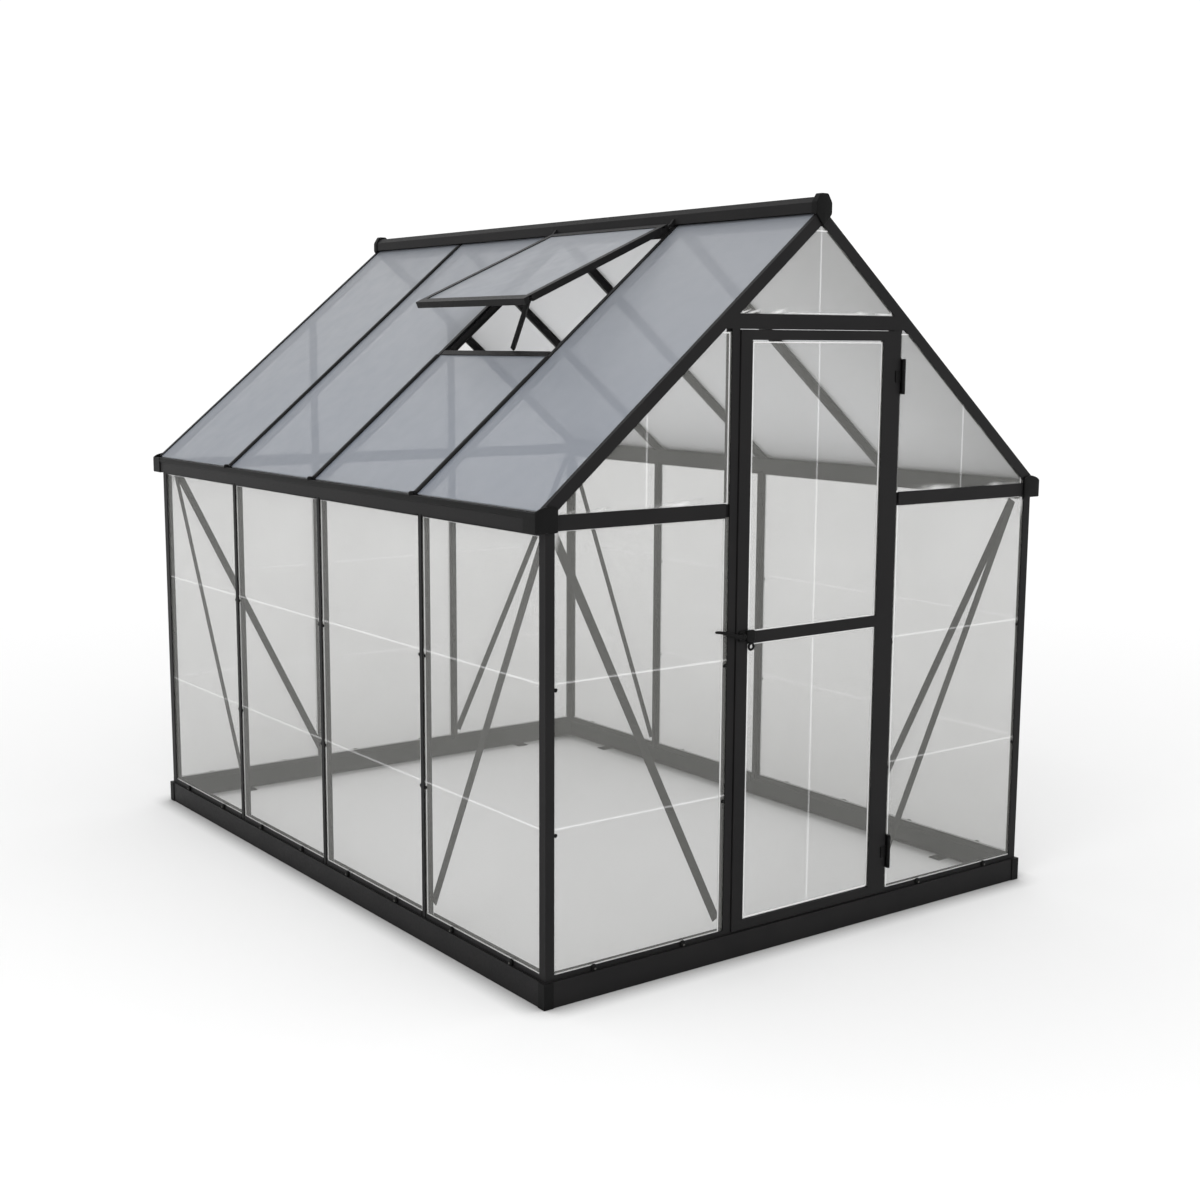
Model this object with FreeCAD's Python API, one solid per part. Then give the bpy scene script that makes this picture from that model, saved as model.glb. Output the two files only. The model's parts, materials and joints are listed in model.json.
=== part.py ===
"""Walk-in gable-roof garden greenhouse: aluminium frame, clear walls, twin-wall roof, hinged door, roof vent.

Axes: X runs along the door gable, Y along the ridge, Z up.  The door gable faces -Y.
The origin is the centre of the base frame at the height of its underside.
All lengths are millimetres and all angles are degrees.
"""
import math
import os

import FreeCAD
import Part

V = FreeCAD.Vector

# ---------------------------------------------------------------- overall sizes
base_width = 1850.0
base_length = 2467.0
base_height = 70.0
eave_height = 1235.0
eave_to_roof_plane = 63.1
roof_rise_per_run = 0.8346
side_bays = 4
wall_inset = 10.0

# ---------------------------------------------------------------- aluminium profiles
skin = 2.5
frame_depth = 28.0
post_face = 28.0
mullion_cap = 16.0
mullion_flange = 26.0
mullion_bead = 14.0
profile_web = 5.0
groove_near = 3.0
groove_far = 7.0
groove_bite = 12.0
sill_height = 14.0
sill_back_height = 12.0
girt_height = 40.0
girt_shelf_rise = 18.0
header_height = 40.0
rafter_depth = 33.0
gable_rafter_cap = 14.0
rafter_groove_bottom = 7.5
eave_beam_depth = 31.0
eave_wall = 3.0
gutter_reach = 30.0
gutter_lip_rise = 49.0
gutter_roll_height = 17.0
gutter_roll_depth = 6.0
rafter_overhang = 12.0

# ---------------------------------------------------------------- base frame
base_skin = 2.0
base_foot_width = 14.0
base_top_width = 40.0
corner_cap_skin = 2.5
corner_cap_leg = 30.0
anchor_hole_radius = 4.5
anchor_hole_line = 53.0
anchor_end_margin = 300.0
anchor_lug_half = 22.0
anchor_lug_edge = 11.5
clip_offset = 150.0
clip_width = 14.0
clip_height = 14.0
clip_reach = 8.0
screw_radius = 3.2
screw_head = 2.0
threshold_height = 3.0

# ---------------------------------------------------------------- ridge
ridge_half_width = 26.0
ridge_shoulder_half = 12.0
ridge_rise = 30.3
ridge_shoulder_drop = 15.0
ridge_side_drop = 43.0
ridge_web_half = 3.0
ridge_web_depth = 79.0
end_cap_skin = 8.0
ridge_cap_rise = 9.0
ridge_cap_margin = 3.0
ridge_cap_wrap = 15.0
eave_cap_wrap = 50.0
eave_cap_skin = 4.0
foot_cap_radius = 9.0
foot_cap_length = 10.0

# ---------------------------------------------------------------- panes
wall_pane_thickness = 2.0
wall_pane_depth = 4.0
pane_side_gap = 1.5
pane_slack = 0.25
crease_lower = 471.0
crease_upper = 849.0
crease_half_width = 8.0
crease_depth = 0.8
roof_pane_thickness = 4.0
roof_pane_sink = 3.25
pane_clip_radius = 4.5
pane_clip_thickness = 2.0
pane_clip_inset = 6.0

# ---------------------------------------------------------------- braces
brace_width = 25.0
brace_thickness = 2.5
brace_corner_gap = 19.0
brace_top_drop = 15.0
brace_foot_rise = 40.0
brace_foot_gap = 8.0

# ---------------------------------------------------------------- doorway and door
doorway_half_width = 290.0
rear_mullion_offset = 306.0
jamb_face = 26.0
jamb_flange = 40.0
jamb_web_at = 20.0
header_bottom = 1736.0
door_side_gap = 2.5
door_top_gap = 2.0
door_bottom_gap = 2.0
door_proud = 3.5
door_depth = 22.0
stile_width = 40.0
stile_groove_depth = 10.0
rail_width = 27.0
mid_rail_bottom = 887.5
mid_rail_height = 32.0
door_pane_depth = 3.5
hinge_offset = 7.0
hinge_height = 100.0
hinge_low_bottom = 150.0
hinge_high_bottom = 1556.0
hinge_knuckle_radius = 6.0
hinge_pin_radius = 3.0
hinge_pin_clearance = 0.05
hinge_leaf_thickness = 2.5
hinge_leaf_width = 20.0
knuckle_gap = 0.5
latch_height = 910.0
latch_plate_left = -281.0
latch_plate_right = -226.0
latch_plate_height = 32.0
latch_plate_thickness = 4.5
latch_eye_drop = 26.0
latch_eye_radius = 12.0
latch_eye_hole = 5.0
latch_body_depth = 11.0
lever_pivot_x = -268.0
lever_tip_x = -372.0
lever_tip_rise = 22.0
lever_boss_radius = 9.0
lever_thickness = 6.0
lever_gap = 0.5
lever_root_height = 14.0
lever_tip_height = 6.0
lever_pin_radius = 4.0
lever_pin_clearance = 0.05

# ---------------------------------------------------------------- roof vent
vent_open_angle = 16.0
vent_hinge_distance = 44.0
vent_hinge_rise = 11.0
vent_rod_radius = 3.5
vent_rod_clearance = 0.05
vent_roll_radius = 7.0
vent_ear_thickness = 10.0
vent_ear_radius = 8.0
vent_ear_gap = 1.0
vent_lid_float = 1.0
vent_lid_depth = 20.0
vent_lid_length = 568.0
vent_lid_side = 24.0
vent_lid_bottom = 28.0
vent_lid_margin = 4.0
vent_sill_distance = 606.0
vent_sill_width = 20.0
vent_sill_depth = 20.0
stay_width = 13.0
stay_thickness = 7.0
stay_length = 240.0
stay_angle = 41.0
stay_end_inset = 32.0
stay_bolt_radius = 3.0
stay_bolt_clearance = 0.05
stay_bolt_head = 6.0
stay_standoff = 5.5
stay_bolt_rise = 4.5
stay_washer_gap = 0.5

# ---------------------------------------------------------------- derived positions
wall_x = base_width / 2 - wall_inset
apex_height = eave_height + eave_to_roof_plane + roof_rise_per_run * wall_x
ridge_top_height = apex_height + ridge_rise
ridge_web_bottom = ridge_top_height - ridge_web_depth
wall_y = base_length / 2 - wall_inset
slope = math.atan(roof_rise_per_run)
slope_cos = math.cos(slope)
slope_sin = math.sin(slope)
bay = 2 * wall_y / side_bays
rafter_lines = [bay * (i - side_bays / 2) for i in range(1, side_bays)]
beam_inner_x = wall_x - eave_beam_depth
gutter_outer_x = wall_x + gutter_reach
rafter_end_x = wall_x + rafter_overhang
rafter_end_s = rafter_end_x / slope_cos
far_away = 3000.0


def roof_z(x):
    """Height of the roof's outer plane at a distance x from the ridge line."""
    return apex_height - roof_rise_per_run * x


def soffit_z(x):
    """Height of the rafters' underside at a distance x from the ridge line."""
    return roof_z(x) - rafter_depth / slope_cos


def roof_point(s, n, y):
    """Point on the +X slope: s down the slope from the apex, n outward from the roof plane."""
    return V(s * slope_cos + n * slope_sin, y, apex_height - s * slope_sin + n * slope_cos)


def prism(points, sweep):
    """Closed polygon swept along a vector."""
    wire = Part.makePolygon(points + [points[0]])
    return Part.Face(wire).extrude(sweep)


def prism_x(points, x_low, x_high):
    """Polygon of (y, z) points swept from x_low to x_high."""
    return prism([V(x_low, y, z) for y, z in points], V(x_high - x_low, 0, 0))


def prism_y(points, y_low, y_high):
    """Polygon of (x, z) points swept from y_low to y_high."""
    return prism([V(x, y_low, z) for x, z in points], V(0, y_high - y_low, 0))


def prism_z(points, z_low, z_high):
    """Polygon of (x, y) points swept from z_low to z_high."""
    return prism([V(x, y, z_low) for x, y in points], V(0, 0, z_high - z_low))


def slope_prism(points, y_low, y_high):
    """Polygon of (s, n) roof points on the +X slope swept along the ridge direction."""
    return prism([roof_point(s, n, y_low) for s, n in points], V(0, y_high - y_low, 0))


def rafter_prism(points, s_low, s_high):
    """Polygon of (y, n) points swept down the +X slope from s_low to s_high."""
    start = [roof_point(s_low, n, y) for y, n in points]
    return prism(start, roof_point(s_high, 0, 0) - roof_point(s_low, 0, 0))


def box(x_low, x_high, y_low, y_high, z_low, z_high):
    """Block between two opposite corners."""
    return Part.makeBox(x_high - x_low, y_high - y_low, z_high - z_low, V(x_low, y_low, z_low))


def flip_x(shape):
    """Mirror image across the ridge plane."""
    return shape.mirror(V(0, 0, 0), V(1, 0, 0))


def flip_y(shape):
    """Mirror image across the middle of the length."""
    return shape.mirror(V(0, 0, 0), V(0, 1, 0))


def rod(start, direction, radius, length):
    """Round bar."""
    return Part.makeCylinder(radius, length, start, direction)


def save(name, shapes):
    """Write one node; several like pieces share it as separate solids."""
    parts = shapes if isinstance(shapes, list) else [shapes]
    shape = parts[0] if len(parts) == 1 else Part.makeCompound(parts)
    shape.exportStep("parts/" + name + ".step")


# Everything above the rafters' underside, used to trim what stands under the gable rafters.
over_soffit = prism_y(
    [(0, soffit_z(0)), (far_away, soffit_z(far_away)), (far_away, far_away), (-far_away, far_away),
     (-far_away, soffit_z(far_away))], -far_away, far_away)


# ---------------------------------------------------------------- base frame
def base_section(outer):
    """C section of a base rail as (depth from the outline, z): web, foot flange, top flange."""
    return [
        (outer, 0), (outer + base_foot_width, 0), (outer + base_foot_width, base_skin),
        (outer + base_skin, base_skin), (outer + base_skin, base_height - base_skin),
        (outer + base_top_width, base_height - base_skin), (outer + base_top_width, base_height),
        (outer, base_height)]


def mitre(half_length, half_across, side):
    """Trapezoid that trims a rail's ends at 45 degrees; side is the axis the rail runs along."""
    near = half_length - corner_cap_skin
    far = half_length - half_across
    across = half_across - corner_cap_skin
    points = [(-near, -across), (near, -across), (far, 0), (-far, 0)]
    if side == "y":
        points = [(y, x) for x, y in points]
    return prism_z(points, -1, base_height + 1)


def anchored(rail, x, y, side):
    """Add a drilled anchor lug to a rail's foot at (x, y); side is the axis the rail runs along."""
    lug_root = anchor_hole_line - corner_cap_skin - base_skin
    if side == "x":
        lug = box(x - anchor_lug_half, x + anchor_lug_half, y - lug_root, y + anchor_lug_edge, 0, base_skin)
    else:
        lug = box(x - lug_root, x + anchor_lug_edge, y - anchor_lug_half, y + anchor_lug_half, 0, base_skin)
    hole = rod(V(x, y, -1), V(0, 0, 1), anchor_hole_radius, base_skin + 2)
    return rail.fuse(lug).cut(hole).removeSplitter()


half_w = base_width / 2
half_l = base_length / 2
front_bar = prism_x([(-half_l + d, z) for d, z in base_section(corner_cap_skin)], -half_w, half_w)
front_rail = front_bar.common(mitre(half_w, half_l, "x"))
for x in (-half_w + anchor_end_margin, half_w - anchor_end_margin):
    front_rail = anchored(front_rail, x, -half_l + anchor_hole_line, "x")
left_bar = prism_y([(-half_w + d, z) for d, z in base_section(corner_cap_skin)], -half_l, half_l)
left_rail = left_bar.common(mitre(half_l, half_w, "y"))
for y in (-half_l + anchor_end_margin, half_l - anchor_end_margin):
    left_rail = anchored(left_rail, -half_w + anchor_hole_line, y, "y")

corner_points = [
    (-half_w, -half_l), (-half_w + corner_cap_leg, -half_l),
    (-half_w + corner_cap_leg, -half_l + corner_cap_skin),
    (-half_w + corner_cap_skin, -half_l + corner_cap_skin),
    (-half_w + corner_cap_skin, -half_l + corner_cap_leg), (-half_w, -half_l + corner_cap_leg)]
corner_cap = prism_z(corner_points, 0, base_height)

# ---------------------------------------------------------------- wall profiles
sill_section = [
    (0, 0), (frame_depth, 0), (frame_depth, sill_back_height), (frame_depth - skin, sill_back_height),
    (frame_depth - skin, skin), (groove_far + skin, skin), (groove_far + skin, sill_back_height),
    (groove_far, sill_back_height), (groove_far, skin), (groove_near, skin), (groove_near, sill_height),
    (0, sill_height)]
girt_section = [
    (0, 0), (groove_near, 0), (groove_near, groove_bite), (groove_far, groove_bite), (groove_far, 0),
    (groove_far + skin, 0), (groove_far + skin, girt_shelf_rise), (frame_depth, girt_shelf_rise),
    (frame_depth, girt_shelf_rise + skin), (groove_far + skin, girt_shelf_rise + skin),
    (groove_far + skin, girt_height), (groove_far, girt_height), (groove_far, girt_height - groove_bite),
    (groove_near, girt_height - groove_bite), (groove_near, girt_height), (0, girt_height)]
header_section = [
    (0, 0), (groove_near, 0), (groove_near, header_height - groove_bite),
    (groove_far, header_height - groove_bite), (groove_far, 0), (frame_depth, 0), (frame_depth, skin),
    (groove_far + skin, skin), (groove_far + skin, header_height), (groove_far, header_height),
    (groove_far, header_height - groove_bite + skin), (groove_near, header_height - groove_bite + skin),
    (groove_near, header_height), (0, header_height)]
mullion_section = [
    (-mullion_cap / 2, 0), (mullion_cap / 2, 0), (mullion_cap / 2, groove_near),
    (profile_web / 2, groove_near), (profile_web / 2, groove_far), (mullion_flange / 2, groove_far),
    (mullion_flange / 2, groove_far + skin), (profile_web / 2, groove_far + skin),
    (profile_web / 2, frame_depth - skin), (mullion_bead / 2, frame_depth - skin),
    (mullion_bead / 2, frame_depth), (-mullion_bead / 2, frame_depth),
    (-mullion_bead / 2, frame_depth - skin), (-profile_web / 2, frame_depth - skin),
    (-profile_web / 2, groove_far + skin), (-mullion_flange / 2, groove_far + skin),
    (-mullion_flange / 2, groove_far), (-profile_web / 2, groove_far), (-profile_web / 2, groove_near),
    (-mullion_cap / 2, groove_near)]
core = groove_far + skin
post_section = [
    (0, 0), (post_face, 0), (post_face, groove_near), (core, groove_near), (core, groove_far),
    (post_face, groove_far), (post_face, core), (core, core), (core, post_face), (groove_far, post_face),
    (groove_far, core), (groove_near, core), (groove_near, post_face), (0, post_face)]
jamb_section = [
    (0, 0), (jamb_face, 0), (jamb_face, groove_near), (jamb_web_at, groove_near),
    (jamb_web_at, groove_far), (jamb_flange, groove_far), (jamb_flange, groove_far + skin),
    (jamb_web_at, groove_far + skin), (jamb_web_at, frame_depth), (jamb_web_at - skin, frame_depth),
    (jamb_web_at - skin, groove_near), (skin, groove_near), (skin, frame_depth - 2 * skin),
    (0, frame_depth - 2 * skin)]

jamb_outer_x = doorway_half_width + jamb_web_at
corner_room = max(post_face, frame_depth)
post_inner_x = wall_x - corner_room
post_inner_y = wall_y - corner_room
front_sill = prism_x([(-wall_y + d, base_height + z) for d, z in sill_section], jamb_outer_x, post_inner_x)
front_sills = [front_sill, flip_x(front_sill)]
rear_sill = prism_x([(wall_y - d, base_height + z) for d, z in sill_section], -post_inner_x, post_inner_x)
right_sill = prism_y([(wall_x - d, base_height + z) for d, z in sill_section], -post_inner_y, post_inner_y)

post = prism_z([(wall_x - u, wall_y - v) for u, v in post_section], base_height, eave_height)
right_mullion = [
    prism_z([(wall_x - d, y + t) for t, d in mullion_section], base_height, eave_height)
    for y in rafter_lines]
# A mullion stands on the base and the sill's fins are notched round it; here the sill is cut back.
mullion_notch = [
    box(0, far_away, y - mullion_flange / 2, y + mullion_flange / 2, 0, far_away) for y in rafter_lines]
for notch in mullion_notch:
    right_sill = right_sill.cut(notch)
rear_notch_half = mullion_flange / 2
rear_mullion = prism_z(
    [(rear_mullion_offset + t, wall_y - d) for t, d in mullion_section], base_height, far_away)
rear_mullion = rear_mullion.cut(over_soffit)
for x in (-rear_mullion_offset, rear_mullion_offset):
    rear_sill = rear_sill.cut(box(x - rear_notch_half, x + rear_notch_half, 0, far_away, 0, far_away))

jamb = prism_z(
    [(doorway_half_width + u, -wall_y + d) for u, d in jamb_section], base_height, header_bottom)
jamb = jamb.cut(over_soffit)
front_sills = [piece.cut(jamb).cut(flip_x(jamb)) for piece in front_sills]
header = prism_x([(-wall_y + d, header_bottom + z) for d, z in header_section], -far_away, far_away)
header = header.cut(over_soffit)
threshold = box(
    -doorway_half_width, doorway_half_width, -wall_y, -wall_y + frame_depth, base_height,
    base_height + threshold_height)

girt_front = prism_x(
    [(-wall_y + d, eave_height + z) for d, z in girt_section], doorway_half_width + jamb_flange,
    beam_inner_x)
girt_rear_side = prism_x(
    [(wall_y - d, eave_height + z) for d, z in girt_section], rear_mullion_offset + mullion_flange / 2,
    beam_inner_x)
girt_rear_middle = prism_x(
    [(wall_y - d, eave_height + z) for d, z in girt_section],
    -rear_mullion_offset + mullion_flange / 2, rear_mullion_offset - mullion_flange / 2)

# ---------------------------------------------------------------- eave beam with gutter
lip = groove_bite
beam_points = [
    (wall_x, eave_height - lip), (wall_x, eave_height), (gutter_outer_x - eave_wall, eave_height),
    (gutter_outer_x, eave_height), (gutter_outer_x, eave_height + gutter_lip_rise),
    (gutter_outer_x - gutter_roll_depth, eave_height + gutter_lip_rise),
    (gutter_outer_x - gutter_roll_depth, eave_height + gutter_lip_rise - gutter_roll_height),
    (gutter_outer_x - eave_wall, eave_height + gutter_lip_rise - gutter_roll_height),
    (gutter_outer_x - eave_wall, eave_height + eave_wall), (wall_x, eave_height + eave_wall),
    (wall_x, soffit_z(wall_x)), (beam_inner_x, soffit_z(beam_inner_x)), (beam_inner_x, eave_height),
    (wall_x - groove_far - skin, eave_height), (wall_x - groove_far - skin, eave_height - lip),
    (wall_x - groove_far, eave_height - lip), (wall_x - groove_far, eave_height),
    (wall_x - groove_near, eave_height), (wall_x - groove_near, eave_height - lip)]
beam_core = [
    (wall_x - eave_wall, eave_height + eave_wall),
    (wall_x - eave_wall, soffit_z(wall_x - eave_wall) - eave_wall / slope_cos),
    (beam_inner_x + eave_wall, soffit_z(beam_inner_x + eave_wall) - eave_wall / slope_cos),
    (beam_inner_x + eave_wall, eave_height + eave_wall)]
eave_beam = prism_y(beam_points, -wall_y, wall_y).cut(prism_y(beam_core, -wall_y - 1, wall_y + 1))
# The lips that hold the panes' top edges stop at the posts and mullions.
lip_low = eave_height - lip - 1
eave_beam = eave_beam.cut(box(0, far_away, post_inner_y, far_away, lip_low, eave_height))
eave_beam = eave_beam.cut(box(0, far_away, -far_away, -post_inner_y, lip_low, eave_height))
for y in rafter_lines:
    half = mullion_flange / 2
    eave_beam = eave_beam.cut(box(0, far_away, y - half, y + half, lip_low, eave_height))

# Eave end cap: plate over the gutter's end and the rafter's foot, side and bottom wraps on the gutter.
connector_outline = [
    (beam_inner_x - eave_cap_skin, eave_height - eave_cap_skin),
    (gutter_outer_x + eave_cap_skin, eave_height - eave_cap_skin),
    (gutter_outer_x + eave_cap_skin, eave_height + gutter_lip_rise),
    (gutter_outer_x - 2 * eave_cap_skin, eave_height + gutter_lip_rise + 2 * eave_cap_skin),
    (wall_x, roof_z(wall_x)), (beam_inner_x - eave_cap_skin, roof_z(wall_x) - eave_cap_skin)]
connector = prism_y(connector_outline, wall_y, wall_y + end_cap_skin)
connector = connector.fuse(box(
    gutter_outer_x, gutter_outer_x + eave_cap_skin, wall_y - eave_cap_wrap, wall_y,
    eave_height - eave_cap_skin, eave_height + gutter_lip_rise))
connector = connector.fuse(box(
    wall_x, gutter_outer_x + eave_cap_skin, wall_y - eave_cap_wrap, wall_y,
    eave_height - eave_cap_skin, eave_height))
connector = connector.removeSplitter()

# ---------------------------------------------------------------- ridge
shoulder_z = ridge_top_height - ridge_shoulder_drop
side_bottom_z = ridge_top_height - ridge_side_drop
ridge_half = [
    (0, ridge_top_height), (ridge_shoulder_half, ridge_top_height), (ridge_half_width, shoulder_z),
    (ridge_half_width, side_bottom_z), (ridge_half_width - skin, side_bottom_z),
    (ridge_half_width - skin, shoulder_z - skin / 2), (ridge_shoulder_half - skin / 2,
                                                       ridge_top_height - skin),
    (ridge_web_half, ridge_top_height - skin), (ridge_web_half, ridge_web_bottom),
    (0, ridge_web_bottom)]
ridge_points = ridge_half[1:-1] + [(-x, z) for x, z in reversed(ridge_half[1:-1])]
ridge_beam = prism_y(ridge_points, -wall_y, wall_y)

cap_half = ridge_half_width + ridge_cap_margin
ridge_cap_points = [
    (-cap_half, side_bottom_z - ridge_cap_margin), (0, ridge_web_bottom),
    (cap_half, side_bottom_z - ridge_cap_margin), (cap_half, shoulder_z),
    (ridge_shoulder_half + ridge_cap_margin / 2, ridge_top_height + ridge_cap_rise),
    (-ridge_shoulder_half - ridge_cap_margin / 2, ridge_top_height + ridge_cap_rise),
    (-cap_half, shoulder_z)]
ridge_cap = prism_y(ridge_cap_points, wall_y - ridge_cap_wrap, wall_y + end_cap_skin)
ridge_cap_void = [
    (-ridge_half_width, 0), (ridge_half_width, 0), (ridge_half_width, shoulder_z),
    (ridge_shoulder_half, ridge_top_height), (-ridge_shoulder_half, ridge_top_height),
    (-ridge_half_width, shoulder_z)]
ridge_cap = ridge_cap.cut(prism_y(ridge_cap_void, wall_y - ridge_cap_wrap - 1, wall_y))
# The wrap stays above the roof plane, clear of the gable rafters.
roof_wedge = prism_y(
    [(0, roof_z(0)), (far_away, roof_z(far_away)), (far_away, 0), (-far_away, 0),
     (-far_away, roof_z(far_away))], wall_y - ridge_cap_wrap - 1, wall_y)
ridge_cap = ridge_cap.cut(roof_wedge)

# ---------------------------------------------------------------- rafters
rafter_section = [
    (-mullion_cap / 2, 0), (mullion_cap / 2, 0), (mullion_cap / 2, -groove_near),
    (profile_web / 2, -groove_near), (profile_web / 2, -rafter_groove_bottom),
    (mullion_flange / 2, -rafter_groove_bottom), (mullion_flange / 2, -rafter_groove_bottom - skin),
    (profile_web / 2, -rafter_groove_bottom - skin), (profile_web / 2, -rafter_depth + skin),
    (mullion_bead / 2, -rafter_depth + skin), (mullion_bead / 2, -rafter_depth),
    (-mullion_bead / 2, -rafter_depth), (-mullion_bead / 2, -rafter_depth + skin),
    (-profile_web / 2, -rafter_depth + skin), (-profile_web / 2, -rafter_groove_bottom - skin),
    (-mullion_flange / 2, -rafter_groove_bottom - skin), (-mullion_flange / 2, -rafter_groove_bottom),
    (-profile_web / 2, -rafter_groove_bottom), (-profile_web / 2, -groove_near),
    (-mullion_cap / 2, -groove_near)]
gable_rafter_section = [
    (0, 0), (gable_rafter_cap, 0), (gable_rafter_cap, -groove_near), (core, -groove_near),
    (core, -rafter_groove_bottom), (frame_depth, -rafter_groove_bottom),
    (frame_depth, -rafter_groove_bottom - skin), (core, -rafter_groove_bottom - skin),
    (core, -rafter_depth), (groove_far, -rafter_depth), (groove_far, -rafter_groove_bottom - skin),
    (groove_near, -rafter_groove_bottom - skin), (groove_near, -rafter_depth), (0, -rafter_depth)]
ridge_trim = box(-far_away, ridge_web_half, -far_away, far_away, 0, far_away)


def rafter(points):
    """Rafter on the +X slope, cut plumb against the ridge's web."""
    return rafter_prism(points, 0, rafter_end_s).cut(ridge_trim)


rafters_right = [rafter([(y + t, n) for t, n in rafter_section]) for y in rafter_lines]
gable_rafter_rear = rafter([(wall_y - d, n) for d, n in gable_rafter_section])
foot_caps = [
    rod(roof_point(rafter_end_s, -foot_cap_radius, y), V(slope_cos, 0, -slope_sin), foot_cap_radius,
        foot_cap_length)
    for y in rafter_lines]


# ---------------------------------------------------------------- wall panes
def creased(low, high, creases):
    """Pane section as (run, depth): a thin sheet with shallow folds at the given stations."""
    outer = [(low, 0)]
    for station in creases:
        outer.append((station - crease_half_width, 0))
        outer.append((station, -crease_depth))
        outer.append((station + crease_half_width, 0))
    outer.append((high, 0))
    inner = [(run, depth + wall_pane_thickness) for run, depth in reversed(outer)]
    return outer + inner


pane_low = base_height + skin + pane_side_gap
pane_high = eave_height - pane_side_gap
fold_heights = [crease_lower, crease_upper]
web_gap = profile_web / 2 + pane_side_gap
post_gap = core + pane_side_gap
pane_stations = [-wall_y + post_gap] + [y + s * web_gap for y in rafter_lines for s in (-1, 1)]
pane_stations = pane_stations + [wall_y - post_gap]
side_panes = []
for low, high in zip(pane_stations[0::2], pane_stations[1::2]):
    outline = [(wall_x - wall_pane_depth - d, z) for z, d in creased(pane_low, pane_high, fold_heights)]
    side_panes.append(prism_y(outline, low, high))

girt_pane_top = eave_height + groove_bite - pane_side_gap
jamb_pane_edge = jamb_outer_x + pane_side_gap
corner_pane_edge = wall_x - post_gap
front_outline = [
    (-wall_y + wall_pane_depth + d, z) for z, d in creased(pane_low, girt_pane_top, fold_heights)]
beam_pane_edge = beam_inner_x - pane_side_gap


def stepped_top(shape):
    """Trim a lower gable pane's top corner where the eave beam's inner face stands above the post."""
    return shape.cut(box(beam_pane_edge, far_away, -far_away, far_away, pane_high, far_away))


front_pane = stepped_top(prism_x(front_outline, jamb_pane_edge, corner_pane_edge))
rear_outline = [(-y, z) for y, z in front_outline]
rear_pane_side = stepped_top(
    prism_x(rear_outline, rear_mullion_offset + web_gap, corner_pane_edge))
rear_pane_middle = prism_x(
    rear_outline, -rear_mullion_offset + web_gap, rear_mullion_offset - web_gap)

# Upper gable panes: vertical fold, top edges tucked into the rafter's groove.
tuck = prism_y(
    [(0, roof_z(0) - (rafter_groove_bottom + skin + pane_side_gap) / slope_cos),
     (far_away, roof_z(far_away) - (rafter_groove_bottom + skin + pane_side_gap) / slope_cos),
     (far_away, far_away), (-far_away, far_away),
     (-far_away, roof_z(far_away) - (rafter_groove_bottom + skin + pane_side_gap) / slope_cos)],
    -far_away, far_away)
upper_low = eave_height + girt_height - groove_bite + pane_side_gap


def gable_pane(x_low, x_high, z_low, wall, folds):
    """Upper gable pane in the wall at y = wall, with vertical folds at the given x positions."""
    inward = -1 if wall > 0 else 1
    points = [(x, wall + inward * (wall_pane_depth + d)) for x, d in creased(x_low, x_high, folds)]
    return prism_z(points, z_low, far_away).cut(tuck)


upper_side_mid = (jamb_pane_edge + beam_pane_edge) / 2
front_upper_side = gable_pane(jamb_pane_edge, beam_pane_edge, upper_low, -wall_y, [upper_side_mid])
over_header = box(-far_away, far_away, -far_away, 0, header_bottom, far_away)
front_upper_side = front_upper_side.cut(over_header)
header_pane_low = header_bottom + header_height - groove_bite + skin + pane_side_gap
# The apex panes stop under the ridge beam's web.
under_ridge = box(-far_away, far_away, -far_away, far_away, ridge_web_bottom - pane_side_gap, far_away)
front_upper_middle = gable_pane(
    -doorway_half_width, doorway_half_width, header_pane_low, -wall_y, [0]).cut(under_ridge)
rear_upper_side = gable_pane(
    rear_mullion_offset + web_gap, beam_pane_edge, upper_low, wall_y, [upper_side_mid])
rear_upper_middle = gable_pane(
    -rear_mullion_offset + web_gap, rear_mullion_offset - web_gap, upper_low, wall_y, [0]).cut(under_ridge)

# ---------------------------------------------------------------- roof panes
pane_top_s = (ridge_web_half + ridge_half_width) / 2 / slope_cos


def roof_pane(s_low, s_high, y_low, y_high):
    """Twin-wall roof sheet on the +X slope."""
    top = -roof_pane_sink
    return slope_prism(
        [(s_low, top), (s_high, top), (s_high, top - roof_pane_thickness),
         (s_low, top - roof_pane_thickness)], y_low, y_high)


bay_edges = list(zip(pane_stations[0::2], pane_stations[1::2]))
vent_bay = 1
roof_panes_right = [roof_pane(pane_top_s, rafter_end_s, low, high) for low, high in bay_edges]
roof_panes_left = []
vent_sill_far = vent_sill_distance + vent_sill_width
for index, (low, high) in enumerate(bay_edges):
    top_s = vent_sill_far - groove_bite + pane_side_gap if index == vent_bay else pane_top_s
    roof_panes_left.append(flip_x(roof_pane(top_s, rafter_end_s, low, high)))

# ---------------------------------------------------------------- roof vent
vent_low = rafter_lines[0]
vent_high = rafter_lines[1]
vent_pivot = roof_point(vent_hinge_distance, vent_hinge_rise, 0)
sill_groove_s = vent_sill_far - groove_bite
vent_sill_points = [
    (vent_sill_distance, 0), (vent_sill_far, 0), (vent_sill_far, -groove_near),
    (sill_groove_s, -groove_near), (sill_groove_s, -rafter_groove_bottom),
    (vent_sill_far, -rafter_groove_bottom), (vent_sill_far, -rafter_groove_bottom - skin),
    (vent_sill_distance + skin, -rafter_groove_bottom - skin),
    (vent_sill_distance + skin, -vent_sill_depth), (vent_sill_distance, -vent_sill_depth)]
vent_sill = slope_prism(
    vent_sill_points, vent_low + mullion_flange / 2, vent_high - mullion_flange / 2)
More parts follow.
